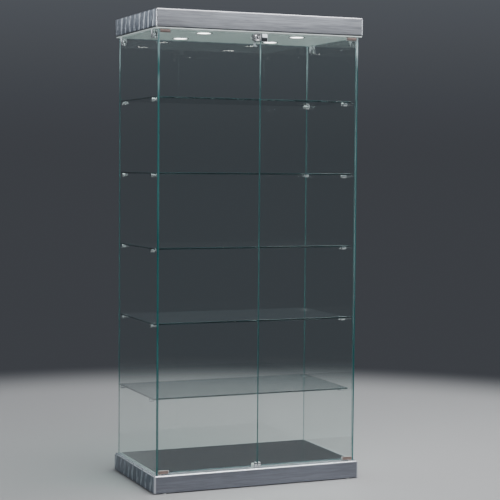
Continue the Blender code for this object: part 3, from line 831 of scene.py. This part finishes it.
def settled(
    name: str,
    mesh: bpy.types.Mesh,
    body: Body,
    material: bpy.types.Material,
    stands_for: Sequence[str],
    bevel: float = 0.0,
    smooth: float = 32.0,
) -> bpy.types.Object:
    """Close a mesh, shade it and place it as a piece.

    Args:
        name: The piece's name.
        mesh: Its mesh, in the cabinet's own frame.
        body: The body it rides on.
        material: Its finish.
        stands_for: The nodes that it is shown in place of.
        bevel: The width of a Bevel on its sharp edges, or 0.
        smooth: Edges that turn by less than this many degrees are shaded smooth.

    Returns:
        The object.
    """
    work = bmesh.new()
    work.from_mesh(mesh)
    bmesh.ops.remove_doubles(work, verts=work.verts, dist=1e-6)
    bmesh.ops.dissolve_degenerate(work, dist=1e-7, edges=work.edges)
    bmesh.ops.recalc_face_normals(work, faces=work.faces)
    work.to_mesh(mesh)
    work.free()
    mesh.shade_smooth()
    mesh.set_sharp_from_angle(angle=math.radians(smooth))
    mesh.materials.clear()
    mesh.materials.append(material)
    made = linked(name, mesh)
    if bevel:
        step = made.modifiers.new("edge", "BEVEL")
        step.width = bevel
        step.segments = 3
        step.limit_method = "ANGLE"
        step.angle_limit = math.radians(40)
        step.harden_normals = True
    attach(made, body.value)
    if stands_for:
        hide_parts(*stands_for)
    log.info("%s: %d faces on %s", name, len(mesh.polygons), body.value)
    return made


def refined(node: str, name: str, body: Body, material: bpy.types.Material) -> bpy.types.Object:
    """Show a merged, smoothly shaded copy of a node in its place.

    Args:
        node: The node that is copied.
        name: The new piece's name.
        body: The body it rides on.
        material: Its finish.

    Returns:
        The object.
    """
    return settled(name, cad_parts[node].data.copy(), body, material, (node,))


def dress(node: str, material: bpy.types.Material) -> None:
    """Give a node that keeps its own solid its finish.

    Args:
        node: The node's name.
        material: Its finish.
    """
    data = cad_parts[node].data
    data.materials.clear()
    data.materials.append(material)
    log.info("%s keeps its solid, with the finish %s", node, material.name)


def carved(target: bpy.types.Object, cutter: Surface) -> None:
    """Cut a closed surface out of a piece and keep the result as its mesh.

    Args:
        target: The piece.
        cutter: What is cut out of it.
    """
    tool = linked("cutter", cutter.mesh("cutter"))
    step = target.modifiers.new("opening", "BOOLEAN")
    step.operation = "DIFFERENCE"
    step.object = tool
    step.solver = "EXACT"
    graph = bpy.context.evaluated_depsgraph_get()
    result = bpy.data.meshes.new_from_object(target.evaluated_get(graph))
    target.modifiers.remove(step)
    target.data = result
    bpy.data.objects.remove(tool)


def box_surface(low: Sequence[float], high: Sequence[float]) -> Surface:
    """A block between two corners, as an outline carried along Z."""
    outline = np.array([(low[0], low[1]), (high[0], low[1]), (high[0], high[1]), (low[0], high[1])])
    return carried(outline, np.array([low[2], high[2]]), (0, 1, 2))


def turned_to(axis: Sequence[float], at: Sequence[float]) -> Matrix:
    """The move that takes +Z at the origin to an axis at a point."""
    return Matrix.Translation(Vector(at)) @ Vector(axis).to_track_quat("Z", "Y").to_matrix().to_4x4()


def hexagonal(rows: Sequence[tuple[float, float, bool]], closed: bool = False) -> Surface:
    """Turn rows about +Z, each of them round or six-sided.

    A hexagon's radius at angle a is 1 / cos(((a + 30) mod 60) - 30 degrees) of its inner radius.

    Args:
        rows: The radius, the height and whether it is six-sided, for each row.
        closed: Whether the last row joins the first, which makes a ring.

    Returns:
        The closed surface.
    """
    angle = np.linspace(0, 2 * math.pi, 48, endpoint=False)
    sixth = math.pi / 3
    hexagon = 1 / np.cos((angle + sixth / 2) % sixth - sixth / 2)
    table = np.array(rows, float)
    reach = table[:, :1] * np.where(table[:, 2:] > 0, hexagon, 1.0)
    height = np.broadcast_to(table[:, 1:2], reach.shape)
    return shell(np.stack([reach * np.cos(angle), reach * np.sin(angle), height], axis=-1), closed)


def nut(flats: float, bore: float, height: float) -> Surface:
    """A hexagon nut about +Z with a chamfered top: six-sided rows outside, and round rows in the bore.

    Args:
        flats: Half the width across its flats.
        bore: The bore's radius.
        height: The nut's height.

    Returns:
        The closed ring.
    """
    return hexagonal([
        (bore, 0.0, False), (flats, 0.0, True), (flats, height * 0.7, True), (flats * 0.94, height, True),
        (bore * 1.12, height, False), (bore, height * 0.88, False),
    ], closed=True)


def socket_screw(head: float, socket: float, height: float, depth: float) -> Surface:
    """A cap with a hexagon socket, its top at height and its foot at 0, about +Z.

    The outer rows are circles, and the inner rows are hexagons.

    Args:
        head: The cap's radius.
        socket: Half the socket's width across its flats.
        height: The cap's height.
        depth: The socket's depth.

    Returns:
        The closed surface.
    """
    soft = min(0.0004, head * 0.2)
    return hexagonal([
        (head, 0.0, False), (head, height - soft, False), (head - soft * 0.3, height - soft * 0.3, False),
        (head - soft, height, False), (socket * 1.06, height, True), (socket, height - soft * 0.4, True),
        (socket, height - depth, True), (socket * 0.3, height - depth - socket * 0.2, False),
    ])


# ---------------------------------------------------------------- sub-assemblies
@dataclass
class Boards:
    """The plinth and the canopy: two rings of folded laminate, their boards, the ceiling and the glides."""

    wall: float = 0.0136
    corner: float = 0.008
    top_round: float = 0.007
    lower_round: float = 0.001
    inner_round: float = 0.0004
    inlet_from_end: float = 0.040
    inlet_from_top: float = 0.013
    inlet_half: tuple[float, float] = (0.0143, 0.0103)
    canopy_finish: Laminate = field(default_factory=Laminate)
    # The plinth's laminate is the canopy's, painted darker as shade on the faces along the cabinet, with
    # weaker painted glints on its ends and a painted highlight on its top edge.
    plinth_finish: Laminate = field(
        default_factory=lambda: Laminate(
            dark=(0.165, 0.17, 0.20), light=(0.24, 0.25, 0.29),
            end_share=0.30, ledge_highlight_share=0.9, corner_highlight_share=0.4,
        )
    )

    def section(self, low: Vector, high: Vector) -> np.ndarray:
        """A ring's closed section: round at the top outside, fine at the other edges.

        Args:
            low: The ring's lowest corner.
            high: The ring's highest corner.

        Returns:
            The section, as rows of (inset, height).
        """
        corners = [(0, low.z), (0, high.z), (self.wall, high.z), (self.wall, low.z)]
        radii = (self.lower_round, self.top_round, self.inner_round, self.inner_round)
        return filleted(corners, radii, 10)

    def ring(self, node: str, name: str, material: bpy.types.Material) -> bpy.types.Object:
        """Make one ring in place of its node.

        Args:
            node: The node that the ring stands for.
            name: The piece's name.
            material: Its finish.

        Returns:
            The object.
        """
        low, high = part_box(node)
        surface = board_ring(low, high, self.corner, self.section(low, high))
        return piece(name, surface, Body.CABINET, material, (node,))

    def build(self) -> None:
        """Make and dress everything of wood."""
        canopy = self.canopy_finish.material("canopy laminate")
        plinth = self.plinth_finish.material("plinth laminate")
        self.open_inlet(self.ring("canopy_frame", "canopy_shell", canopy))
        self.ring("plinth_frame", "plinth_shell", plinth)
        dress("canopy_top_board", canopy)
        dress("plinth_deck", plinth)
        dress("ceiling_panel", Lacquer().material("ceiling lacquer"))
        dress("mirror_floor", Mirror().material("smoked mirror", "mirror_floor"))
        white = Plastic((0.74, 0.74, 0.72), 0.42).material("glide plastic")
        for place in PLACES:
            self.glide(place, white)

    def open_inlet(self, canopy: bpy.types.Object) -> None:
        """Cut the lamp inlet's opening through the canopy's back.

        Args:
            canopy: The canopy's ring.
        """
        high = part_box("led_driver")[1]
        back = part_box("canopy_frame")[1].y
        spare = 0.010
        middle_x, middle_z = high.x - self.inlet_from_end, high.z - self.inlet_from_top
        half_x, half_z = self.inlet_half
        start = (middle_x - half_x, back - self.wall - spare, middle_z - half_z)
        carved(canopy, box_surface(start, (middle_x + half_x, back + spare, middle_z + half_z)))

    def glide(self, place: str, material: bpy.types.Material) -> None:
        """A moulded disc with a dished foot and a nail hole.

        Args:
            place: The glide's corner.
            material: Its finish.
        """
        node = f"floor_glide_{place}"
        low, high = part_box(node)
        middle, radius, tall = (low + high) / 2, (high.x - low.x) / 2, high.z - low.z
        corners = [
            (0.0016, tall), (radius, tall), (radius, 0.0), (0.0046, 0.0), (0.0040, 0.0012), (0.0016, 0.0016),
        ]
        outline = filleted(corners, (0.0002, 0.0003, 0.0011, 0.0004, 0.0002, 0.0002))
        surface = lathe(outline, 48, closed=True).placed(Matrix.Translation((middle.x, middle.y, low.z)))
        piece(f"glide_{place}", surface, Body.CABINET, material, (node,))


@dataclass
class Panes:
    """Every sheet of glass, each with its own edge mask."""

    upright: Glass = field(default_factory=Glass)
    # Shelf edges: darker, with a weaker painted glow.
    shelf: Glass = field(
        default_factory=lambda: Glass(
            edge_deep=(0.004, 0.012, 0.014), edge_pale=(0.02, 0.05, 0.055), painted_edge_glow=0.1
        )
    )
    shelves: int = 5

    def build(self) -> None:
        """Dress each pane."""
        for place in ("left_side", "right_side", "back", "left_door", "right_door"):
            node = f"{place}_glass"
            dress(node, self.upright.material(f"glass of {node}", node))
        for number in range(1, self.shelves + 1):
            dress(f"shelf_{number}", self.shelf.material(f"glass of shelf {number}", f"shelf_{number}"))


@dataclass
class Pegs:
    """The shelf pegs: a round bar with a flat on top, a neck and a domed tip."""

    shelves: int = 5
    flat: float = 0.004
    radius: float = 0.008
    body: float = 0.017
    neck: float = 0.0035
    neck_radius: float = 0.0036
    tip_radius: float = 0.007
    sides: int = 48

    def surface(self, low: Vector, high: Vector, side: int) -> Surface:
        """One peg's surface.

        At reach s from the pane the bar has the radius r(s) of the outline, and each of its points lies at
        (cos a, min(sin a, flat / r)) r about the axis.

        Args:
            low: The node's lowest corner.
            high: The node's highest corner.
            side: -1 for a peg on the left pane, and 1 on the right one.

        Returns:
            The closed surface.
        """
        length = high.x - low.x
        neck_end = self.body + self.neck
        corners = [
            (0, 0.001), (0, self.radius), (self.body, self.radius), (self.body, self.neck_radius),
            (neck_end, self.neck_radius), (neck_end, self.tip_radius), (length, self.tip_radius),
            (length, 0.001),
        ]
        outline = filleted(corners, (0, 0.0004, 0.0009, 0.0003, 0.0003, 0.0006, 0.0042, 0), 7)
        reach, radius = outline[:, :1], outline[:, 1:]
        angle = np.linspace(0, 2 * math.pi, self.sides, endpoint=False)
        root = high.x if side > 0 else low.x
        x = root - side * np.broadcast_to(reach, (len(outline), self.sides))
        y = (low.y + high.y) / 2 + radius * np.cos(angle)
        z = high.z - self.flat + np.minimum(radius * np.sin(angle), self.flat)
        return shell(np.stack([x, y, z], axis=-1))

    def build(self, chrome: bpy.types.Material) -> None:
        """Make every peg in place of its node.

        Args:
            chrome: The pegs' finish.
        """
        for number in range(1, self.shelves + 1):
            for place in PLACES:
                node = f"shelf_{number}_peg_{place}"
                side = -1 if place.endswith("left") else 1
                surface = self.surface(*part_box(node), side)
                piece(f"peg_{number}_{place}", surface, Body.CABINET, chrome, (node,), smooth=28)


@dataclass
class Brackets:
    """The clamps between the side panes and the ceiling, with their clamping screws."""

    screw_radius: float = 0.0036
    screw_height: float = 0.0018
    screw_drop: float = 0.022

    def build(self, steel: bpy.types.Material) -> None:
        """Make each clamp and its screw.

        Args:
            steel: The screws' finish.
        """
        satin = Metal((0.84, 0.85, 0.86), 0.24, (700, 700, 80)).material("clamp satin chrome")
        for place in PLACES:
            node = f"glass_bracket_{place}"
            low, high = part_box(node)
            refined(node, f"clamp_{place}", Body.CABINET, satin)
            inward = 1 if place.endswith("left") else -1
            face = high.x if inward > 0 else low.x
            at = (face + inward * TOUCH, (low.y + high.y) / 2, high.z - self.screw_drop)
            screw = socket_screw(self.screw_radius, 0.0016, self.screw_height, 0.0014)
            surface = screw.placed(turned_to((inward, 0, 0), at))
            piece(f"clamp_screw_{place}", surface, Body.CABINET, steel)


@dataclass
class Lamps:
    """The four recessed downlights and their lit lenses."""

    lens_radius: float = 0.0293
    bezel_drop: float = 0.003
    can_radius: float = 0.0265
    can_wall: float = 0.0015
    cable_hole: float = 0.004

    def build(self, chrome: bpy.types.Material) -> None:
        """Make each can with its bezel, and its lens.

        Args:
            chrome: The cans' finish.
        """
        for place in PLACES:
            node = f"downlight_{place}"
            low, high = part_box(node)
            middle, bezel = (low + high) / 2, (high.x - low.x) / 2
            lid = high.z - low.z
            shift = Matrix.Translation((middle.x, middle.y, low.z))
            drop, seat = self.bezel_drop, self.lens_radius + TOUCH
            inside, under = self.can_radius - self.can_wall, lid - self.can_wall
            corners = [
                (bezel, drop - TOUCH), (bezel, drop * 0.45), (bezel - 0.0016, 0.0), (seat, 0.0),
                (seat, drop - 0.0005), (inside, drop - 0.0005), (inside, under), (self.cable_hole, under),
                (self.cable_hole, lid), (self.can_radius, lid), (self.can_radius, drop - TOUCH),
            ]
            radii = (0.0002, 0.0009, 0.0006, 0.0003, 0.0002, 0.0002, 0.0004, 0.0002, 0.0002, 0.0008, 0.0001)
            can = lathe(filleted(corners, radii, 5), 96, closed=True).placed(shift)
            piece(f"lamp_{place}", can, Body.CABINET, chrome, (node,))
            glow = LampGlow((middle.x, middle.y), self.lens_radius).material(f"lens of lamp {place}")
            piece(f"lamp_lens_{place}", self.lens().placed(shift), Body.CABINET, glow)

    def lens(self) -> Surface:
        """A shallow dome: at radius r its lower side is at rise * (r / R) squared above the bezel's rim.

        Returns:
            The closed surface, about +Z.
        """
        edge, rise = self.lens_radius, 0.0009
        radius = np.linspace(0.0005, edge - 0.0006, 16)
        lower = np.stack([radius, 0.0004 + rise * (radius / edge) ** 2], axis=-1)
        rim = np.array([(edge, 0.0018), (edge, 0.0022), (edge - 0.0003, 0.0024)])
        upper = np.stack([radius[::-1] * 0.98, np.full(16, 0.0024)], axis=-1)
        return lathe(np.vstack([lower, rim, upper]), 96)


class Corner:
    """One corner of a door, where a shoe holds the pane and turns on its pin."""

    channel_height: float = 0.0123

    def __init__(self, side_name: str, level: str) -> None:
        """Read the corner's limits from its shoe and its pane.

        Args:
            side_name: The door's side, left or right.
            level: The shoe's level, bottom or top.
        """
        self.name = f"{side_name}_{level}"
        self.node = f"{side_name}_door_{level}_shoe"
        self.body = Body(f"{side_name}_door")
        self.side = -1 if self.body is Body.LEFT_DOOR else 1
        self.at_bottom = level == "bottom"
        low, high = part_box(self.node)
        pane_low, pane_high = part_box(f"{side_name}_door_glass")
        self.x0, self.x1 = low.x, high.x
        self.y, self.half = (low.y + high.y) / 2, (high.y - low.y) / 2
        self.up = 1.0 if self.at_bottom else -1.0  # the way from the channel's web to the pane
        self.foot, self.rim = (low.z, high.z) if self.at_bottom else (high.z, low.z)
        self.web = self.rim - self.up * self.channel_height
        self.glass_edge = pane_low.z if self.at_bottom else pane_high.z


@dataclass
class DoorFittings:
    """What turns and holds the doors: shoes with liners, pins, bushes and screws, clips and the catch."""

    wall: float = 0.002
    liner: float = 0.00072
    liner_reach: float = 0.0035
    pin_radius: float = 0.0027
    pivot_x: float = 0.410
    glass: float = 0.006
    bush_radius: float = 0.0062
    screw_rise: float = 0.0072
    screw_places: tuple[float, float] = (0.45, 0.80)
    plate_span: tuple[float, float] = (0.0018, 0.0128)

    def build(
        self, nickel: bpy.types.Material, chrome: bpy.types.Material, steel: bpy.types.Material
    ) -> None:
        """Make the fittings of both doors.

        Args:
            nickel: The shoes' finish.
            chrome: The catch straps' finish.
            steel: The screws' and pole plates' finish.
        """
        clear = Plastic((0.86, 0.85, 0.83), 0.22, 0.35).material("shoe liner")
        white = Plastic((0.78, 0.78, 0.76), 0.40).material("bush plastic")
        for side_name in ("left", "right"):
            for level in ("bottom", "top"):
                corner = Corner(side_name, level)
                self.shoe(corner, nickel)
                self.liner_sheet(corner, clear)
                self.screws(corner, steel)
                self.bush(corner, white)
            strap = f"catch_strap_{side_name}"
            refined(f"{side_name}_catch_clip", strap, Body(f"{side_name}_door"), chrome)
        self.catch(white, steel)

    def shoe(self, corner: Corner, material: bpy.types.Material) -> None:
        """A rounded channel, carried along X, with its pin turned about the door's axis.

        Args:
            corner: The door's corner.
            material: The shoe's finish.
        """
        y, half, slot = corner.y, corner.half, corner.half - self.wall
        base, rim = corner.web, corner.rim
        floor = base + corner.up * self.wall
        corners = [
            (y - half, base), (y + half, base), (y + half, rim), (y + slot, rim),
            (y + slot, floor), (y - slot, floor), (y - slot, rim), (y - half, rim),
        ]
        outline = filleted(corners, (0.0014, 0.0014, 0.0007, 0.0003, 0.0005, 0.0005, 0.0003, 0.0007), 5)
        channel = carried(outline, np.array([corner.x0, corner.x1]), (2, 0, 1))
        tall = abs(floor - corner.foot) - self.wall / 2
        ends = [(0.0006, 0), (self.pin_radius, 0), (self.pin_radius, tall), (0.0006, tall)]
        profile = filleted(ends, (0, 0.0006, 0, 0), 4)
        turn = turned_to((0, 0, corner.up), (corner.side * self.pivot_x, y, corner.foot))
        stands_for = (corner.node,)
        piece(f"shoe_{corner.name}", channel, corner.body, material, stands_for, bevel=0.0004)
        piece(f"pivot_pin_{corner.name}", lathe(profile, 40).placed(turn), corner.body, material)

    def liner_sheet(self, corner: Corner, material: bpy.types.Material) -> None:
        """The clear sheet folded round the pane in the shoe, which shows past the shoe's inner end.

        Args:
            corner: The door's corner.
            material: The liner's finish.
        """
        y, up = corner.y, corner.up
        inner = self.glass / 2 + TOUCH * 0.5
        outer = inner + self.liner
        fold = corner.glass_edge - up * TOUCH * 0.5
        foot = fold - up * self.liner
        top = corner.rim + up * 0.0008
        corners = [
            (y - outer, foot), (y + outer, foot), (y + outer, top), (y + inner, top),
            (y + inner, fold), (y - inner, fold), (y - inner, top), (y - outer, top),
        ]
        outline = filleted(corners, (0.0004, 0.0004, 0.0001, 0.0001, 0.0001, 0.0001, 0.0001, 0.0001), 3)
        if corner.side < 0:
            stations = np.array([corner.x0 + 0.0005, corner.x1 + self.liner_reach])
        else:
            stations = np.array([corner.x0 - self.liner_reach, corner.x1 - 0.0005])
        surface = carried(outline, stations, (2, 0, 1))
        piece(f"shoe_liner_{corner.name}", surface, corner.body, material)

    def screws(self, corner: Corner, material: bpy.types.Material) -> None:
        """The grub screws in the shoe's inner cheek.

        Args:
            corner: The door's corner.
            material: The screws' finish.
        """
        outer_end = corner.x1 if corner.side > 0 else corner.x0
        y, z = corner.y + corner.half - self.wall + TOUCH, corner.web + corner.up * self.screw_rise
        screw = socket_screw(0.0018, 0.0009, self.wall - 2 * TOUCH, 0.0011)
        for number, share in enumerate(self.screw_places, 1):
            x = outer_end - corner.side * share * (corner.x1 - corner.x0)
            surface = screw.placed(turned_to((0, 1, 0), (x, y, z)))
            piece(f"shoe_screw_{corner.name}_{number}", surface, corner.body, material)

    def bush(self, corner: Corner, material: bpy.types.Material) -> None:
        """The flanged collar that a pin turns in, where it enters the plinth or the ceiling.

        Args:
            corner: The door's corner.
            material: The collar's finish.
        """
        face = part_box("plinth_deck")[1].z if corner.at_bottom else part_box("ceiling_panel")[0].z
        bore, outer = self.pin_radius + TOUCH, self.bush_radius
        thick = min(0.0012, abs(corner.web - face) - 3 * TOUCH)
        corners = [(bore, 0), (outer, 0), (outer, thick), (bore, thick)]
        ring = lathe(filleted(corners, (0.0002, 0.0002, 0.0004, 0.0002), 4), 48, closed=True)
        at = (corner.side * self.pivot_x, corner.y, face + corner.up * TOUCH)
        surface = ring.placed(turned_to((0, 0, corner.up), at))
        piece(f"pin_bush_{corner.name}", surface, Body.CABINET, material)

    def catch(self, plastic: bpy.types.Material, steel: bpy.types.Material) -> None:
        """The magnet case and the two pole plates that face the doors' straps.

        Args:
            plastic: The case's finish.
            steel: The plates' finish.
        """
        refined("catch_case", "magnet_case", Body.CABINET, plastic)
        low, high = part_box("catch_case")
        for name, side in (("left", -1), ("right", 1)):
            near, far = sorted(side * reach for reach in self.plate_span)
            start = (near, low.y - 0.0004, low.z + 0.0028)
            surface = box_surface(start, (far, low.y - 0.0001, high.z - 0.0020))
            piece(f"pole_plate_{name}", surface, Body.CABINET, steel, bevel=0.0001)


@dataclass
class Lock:
    """The lock on the left door, its turning parts, the keeper on the right door and the nut on the cam."""

    nut_flats: float = 0.0052
    nut_bore: float = 0.0042
    nut_height: float = 0.0009

    def build(self, chrome: bpy.types.Material, steel: bpy.types.Material) -> None:
        """Show refined copies of the solids and add the nut on the spindle.

        Args:
            chrome: The plug's and the keeper's finish.
            steel: The cam's and the nut's finish.
        """
        satin = Metal((0.46, 0.46, 0.47), 0.26, (900, 900, 60)).material("lock satin chrome")
        refined("lock_housing", "lock_case", Body.LEFT_DOOR, satin)
        refined("lock_cylinder", "lock_plug", Body.LOCK, chrome)
        refined("lock_cam", "cam", Body.LOCK, steel)
        refined("lock_keeper", "keeper", Body.RIGHT_DOOR, chrome)
        plug_low, plug_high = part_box("lock_cylinder")
        middle = (plug_low + plug_high) / 2
        at = (middle.x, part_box("lock_cam")[1].y + TOUCH, middle.z)
        surface = nut(self.nut_flats, self.nut_bore, self.nut_height).placed(turned_to((0, 1, 0), at))
        piece("cam_nut", surface, Body.LOCK, steel)


@dataclass
class Driver:
    """The lamps' driver with its inlet."""

    def build(self) -> None:
        """Show a refined copy of the solid."""
        grey = Plastic((0.70, 0.71, 0.71), 0.40).material("driver plastic")
        refined("led_driver", "lamp_driver", Body.CABINET, grey)


# ---------------------------------------------------------------- studio
@dataclass
class Studio:
    """A plain pale floor whose far rim melts into a plain backdrop, soft lights and the camera."""

    floor: Colour = (0.46, 0.46, 0.465)
    skyline: Colour = (0.052, 0.056, 0.065)
    upper: Colour = (0.115, 0.126, 0.143)
    rim: tuple[float, float] = (2.3, 3.4)
    reach: float = 40.0
    yaw: float = 0.3976
    pitch: float = 0.0561
    roll: float = -0.0077
    lens: float = 105.45
    eye: tuple[float, float, float] = (-2.2676, -5.543, 1.2628)
    target: tuple[float, float, float] = (0.0, 0.0, 1.0)

    def build(self) -> None:
        """Set up everything round the cabinet."""
        self.ground()
        self.surroundings()
        self.lights()
        self.camera()

    def ground(self) -> None:
        """A large flat disc, evenly pale, whose far rim takes the skyline's colour."""
        angle = np.linspace(0, 2 * math.pi, 96, endpoint=False)
        radii = np.array([0.01, 1.0, 2.0, 4.0, 10.0, self.reach])[:, None]
        rings = np.stack([radii * np.cos(angle), radii * np.sin(angle), np.zeros((6, 96))], axis=-1)
        surface = shell(rings)
        mesh = Surface(surface.points, surface.faces[:-1]).mesh("floor")
        tree = Tree("studio floor")
        away = tree.maths("SQRT", tree.x * tree.x + tree.y * tree.y)
        tree.principled({"Base Color": self.floor, "Roughness": 0.55})
        glow = tree.node("ShaderNodeEmission", {}, {0: (*self.skyline, 1.0), 1: 1.0})
        share = away.ease(*self.rim)
        mix = tree.node("ShaderNodeMixShader", {}, {0: share, 1: tree.shader.outputs[0], 2: glow.outputs[0]})
        mesh.materials.append(tree.shown(mix.outputs[0]))
        linked("floor", mesh)

    def surroundings(self) -> None:
        """A plain world that lightens from the skyline upward."""
        world = bpy.data.worlds.new("studio")
        graph = Graph(world)
        direction = graph.node("ShaderNodeTexCoord").outputs["Generated"]
        height = graph.node("ShaderNodeSeparateXYZ", {}, {0: direction}).outputs["Z"]
        stops = [(0.0, self.skyline), (0.22, self.upper)]
        ramp = graph.node("ShaderNodeValToRGB", {"stops": stops}, {"Fac": height})
        graph.feed(graph.nodes["Background"].inputs["Color"], ramp.outputs["Color"])
        bpy.context.scene.world = world

    def softbox(
        self,
        name: str,
        at: Sequence[float],
        size: tuple[float, float],
        power: float,
        aim: Sequence[float],
        colour: Colour = (1.0, 1.0, 1.0),
    ) -> None:
        """Add one area light that points at a place.

        Args:
            name: The light's name.
            at: Where it stands.
            size: Its width and height.
            power: Its power in watts.
            aim: The point that it faces.
            colour: Its colour.
        """
        data = bpy.data.lights.new(name, "AREA")
        data.shape = "RECTANGLE"
        data.size, data.size_y = size
        data.energy = power
        data.color = colour
        lamp = linked(name, data)
        lamp.location = at
        lamp.rotation_euler = (Vector(aim) - Vector(at)).to_track_quat("-Z", "Y").to_euler()

    def lights(self) -> None:
        """Boxes overhead, high in front, high behind on the left for the ends, and a strip on each side."""
        top = (0.0, 0.0, 1.8)
        self.softbox("overhead", (1.0, -1.0, 4.6), (5.2, 2.6), 300, self.target)
        self.softbox("front right", (2.7, -5.9, 3.5), (3.6, 2.2), 54, top, (0.90, 0.95, 1.0))
        self.softbox("back left", (-2.9, 4.9, 3.15), (2.6, 1.6), 25, top, (0.90, 0.95, 1.0))
        self.softbox("corner strip", (-4.8, -3.0, 1.2), (0.9, 3.4), 90, self.target, (0.94, 0.97, 1.0))
        self.softbox("right", (4.8, -1.6, 2.4), (1.6, 2.6), 40, self.target, (0.92, 0.96, 1.0))

    def camera(self) -> None:
        """Aim the camera: it looks along (sin yaw cos pitch, cos yaw cos pitch, -sin pitch)."""
        sin_yaw, cos_yaw = math.sin(self.yaw), math.cos(self.yaw)
        sin_pitch, cos_pitch = math.sin(self.pitch), math.cos(self.pitch)
        ahead = Vector((sin_yaw * cos_pitch, cos_yaw * cos_pitch, -sin_pitch))
        level = Vector((cos_yaw, -sin_yaw, 0.0))
        down = ahead.cross(level)
        right = math.cos(self.roll) * level + math.sin(self.roll) * down
        lower = -math.sin(self.roll) * level + math.cos(self.roll) * down
        turn = Matrix((right, -lower, -ahead)).transposed().to_4x4()
        data = bpy.data.cameras.new("camera")
        data.lens = self.lens
        data.sensor_width = 36.0
        data.clip_end = 100.0
        eye = linked("camera", data)
        eye.matrix_world = Matrix.Translation(self.eye) @ turn
        bpy.context.scene.camera = eye


def main() -> None:
    """Build the looks in order."""
    logging.basicConfig(level=logging.INFO, format="%(name)s: %(message)s")
    chrome = Metal((0.80, 0.81, 0.82), 0.07).material("chrome")
    nickel = Metal((0.37, 0.275, 0.245), 0.28, (60, 1400, 1400), 0.00003).material("warm nickel")
    steel = Metal((0.60, 0.61, 0.63), 0.30, (400, 400, 400)).material("zinc steel")
    Studio().build()
    Boards().build()
    Panes().build()
    Pegs().build(chrome)
    Brackets().build(steel)
    Lamps().build(chrome)
    DoorFittings().build(nickel, chrome, steel)
    Lock().build(chrome, steel)
    Driver().build()


if __name__ == "__main__":
    main()
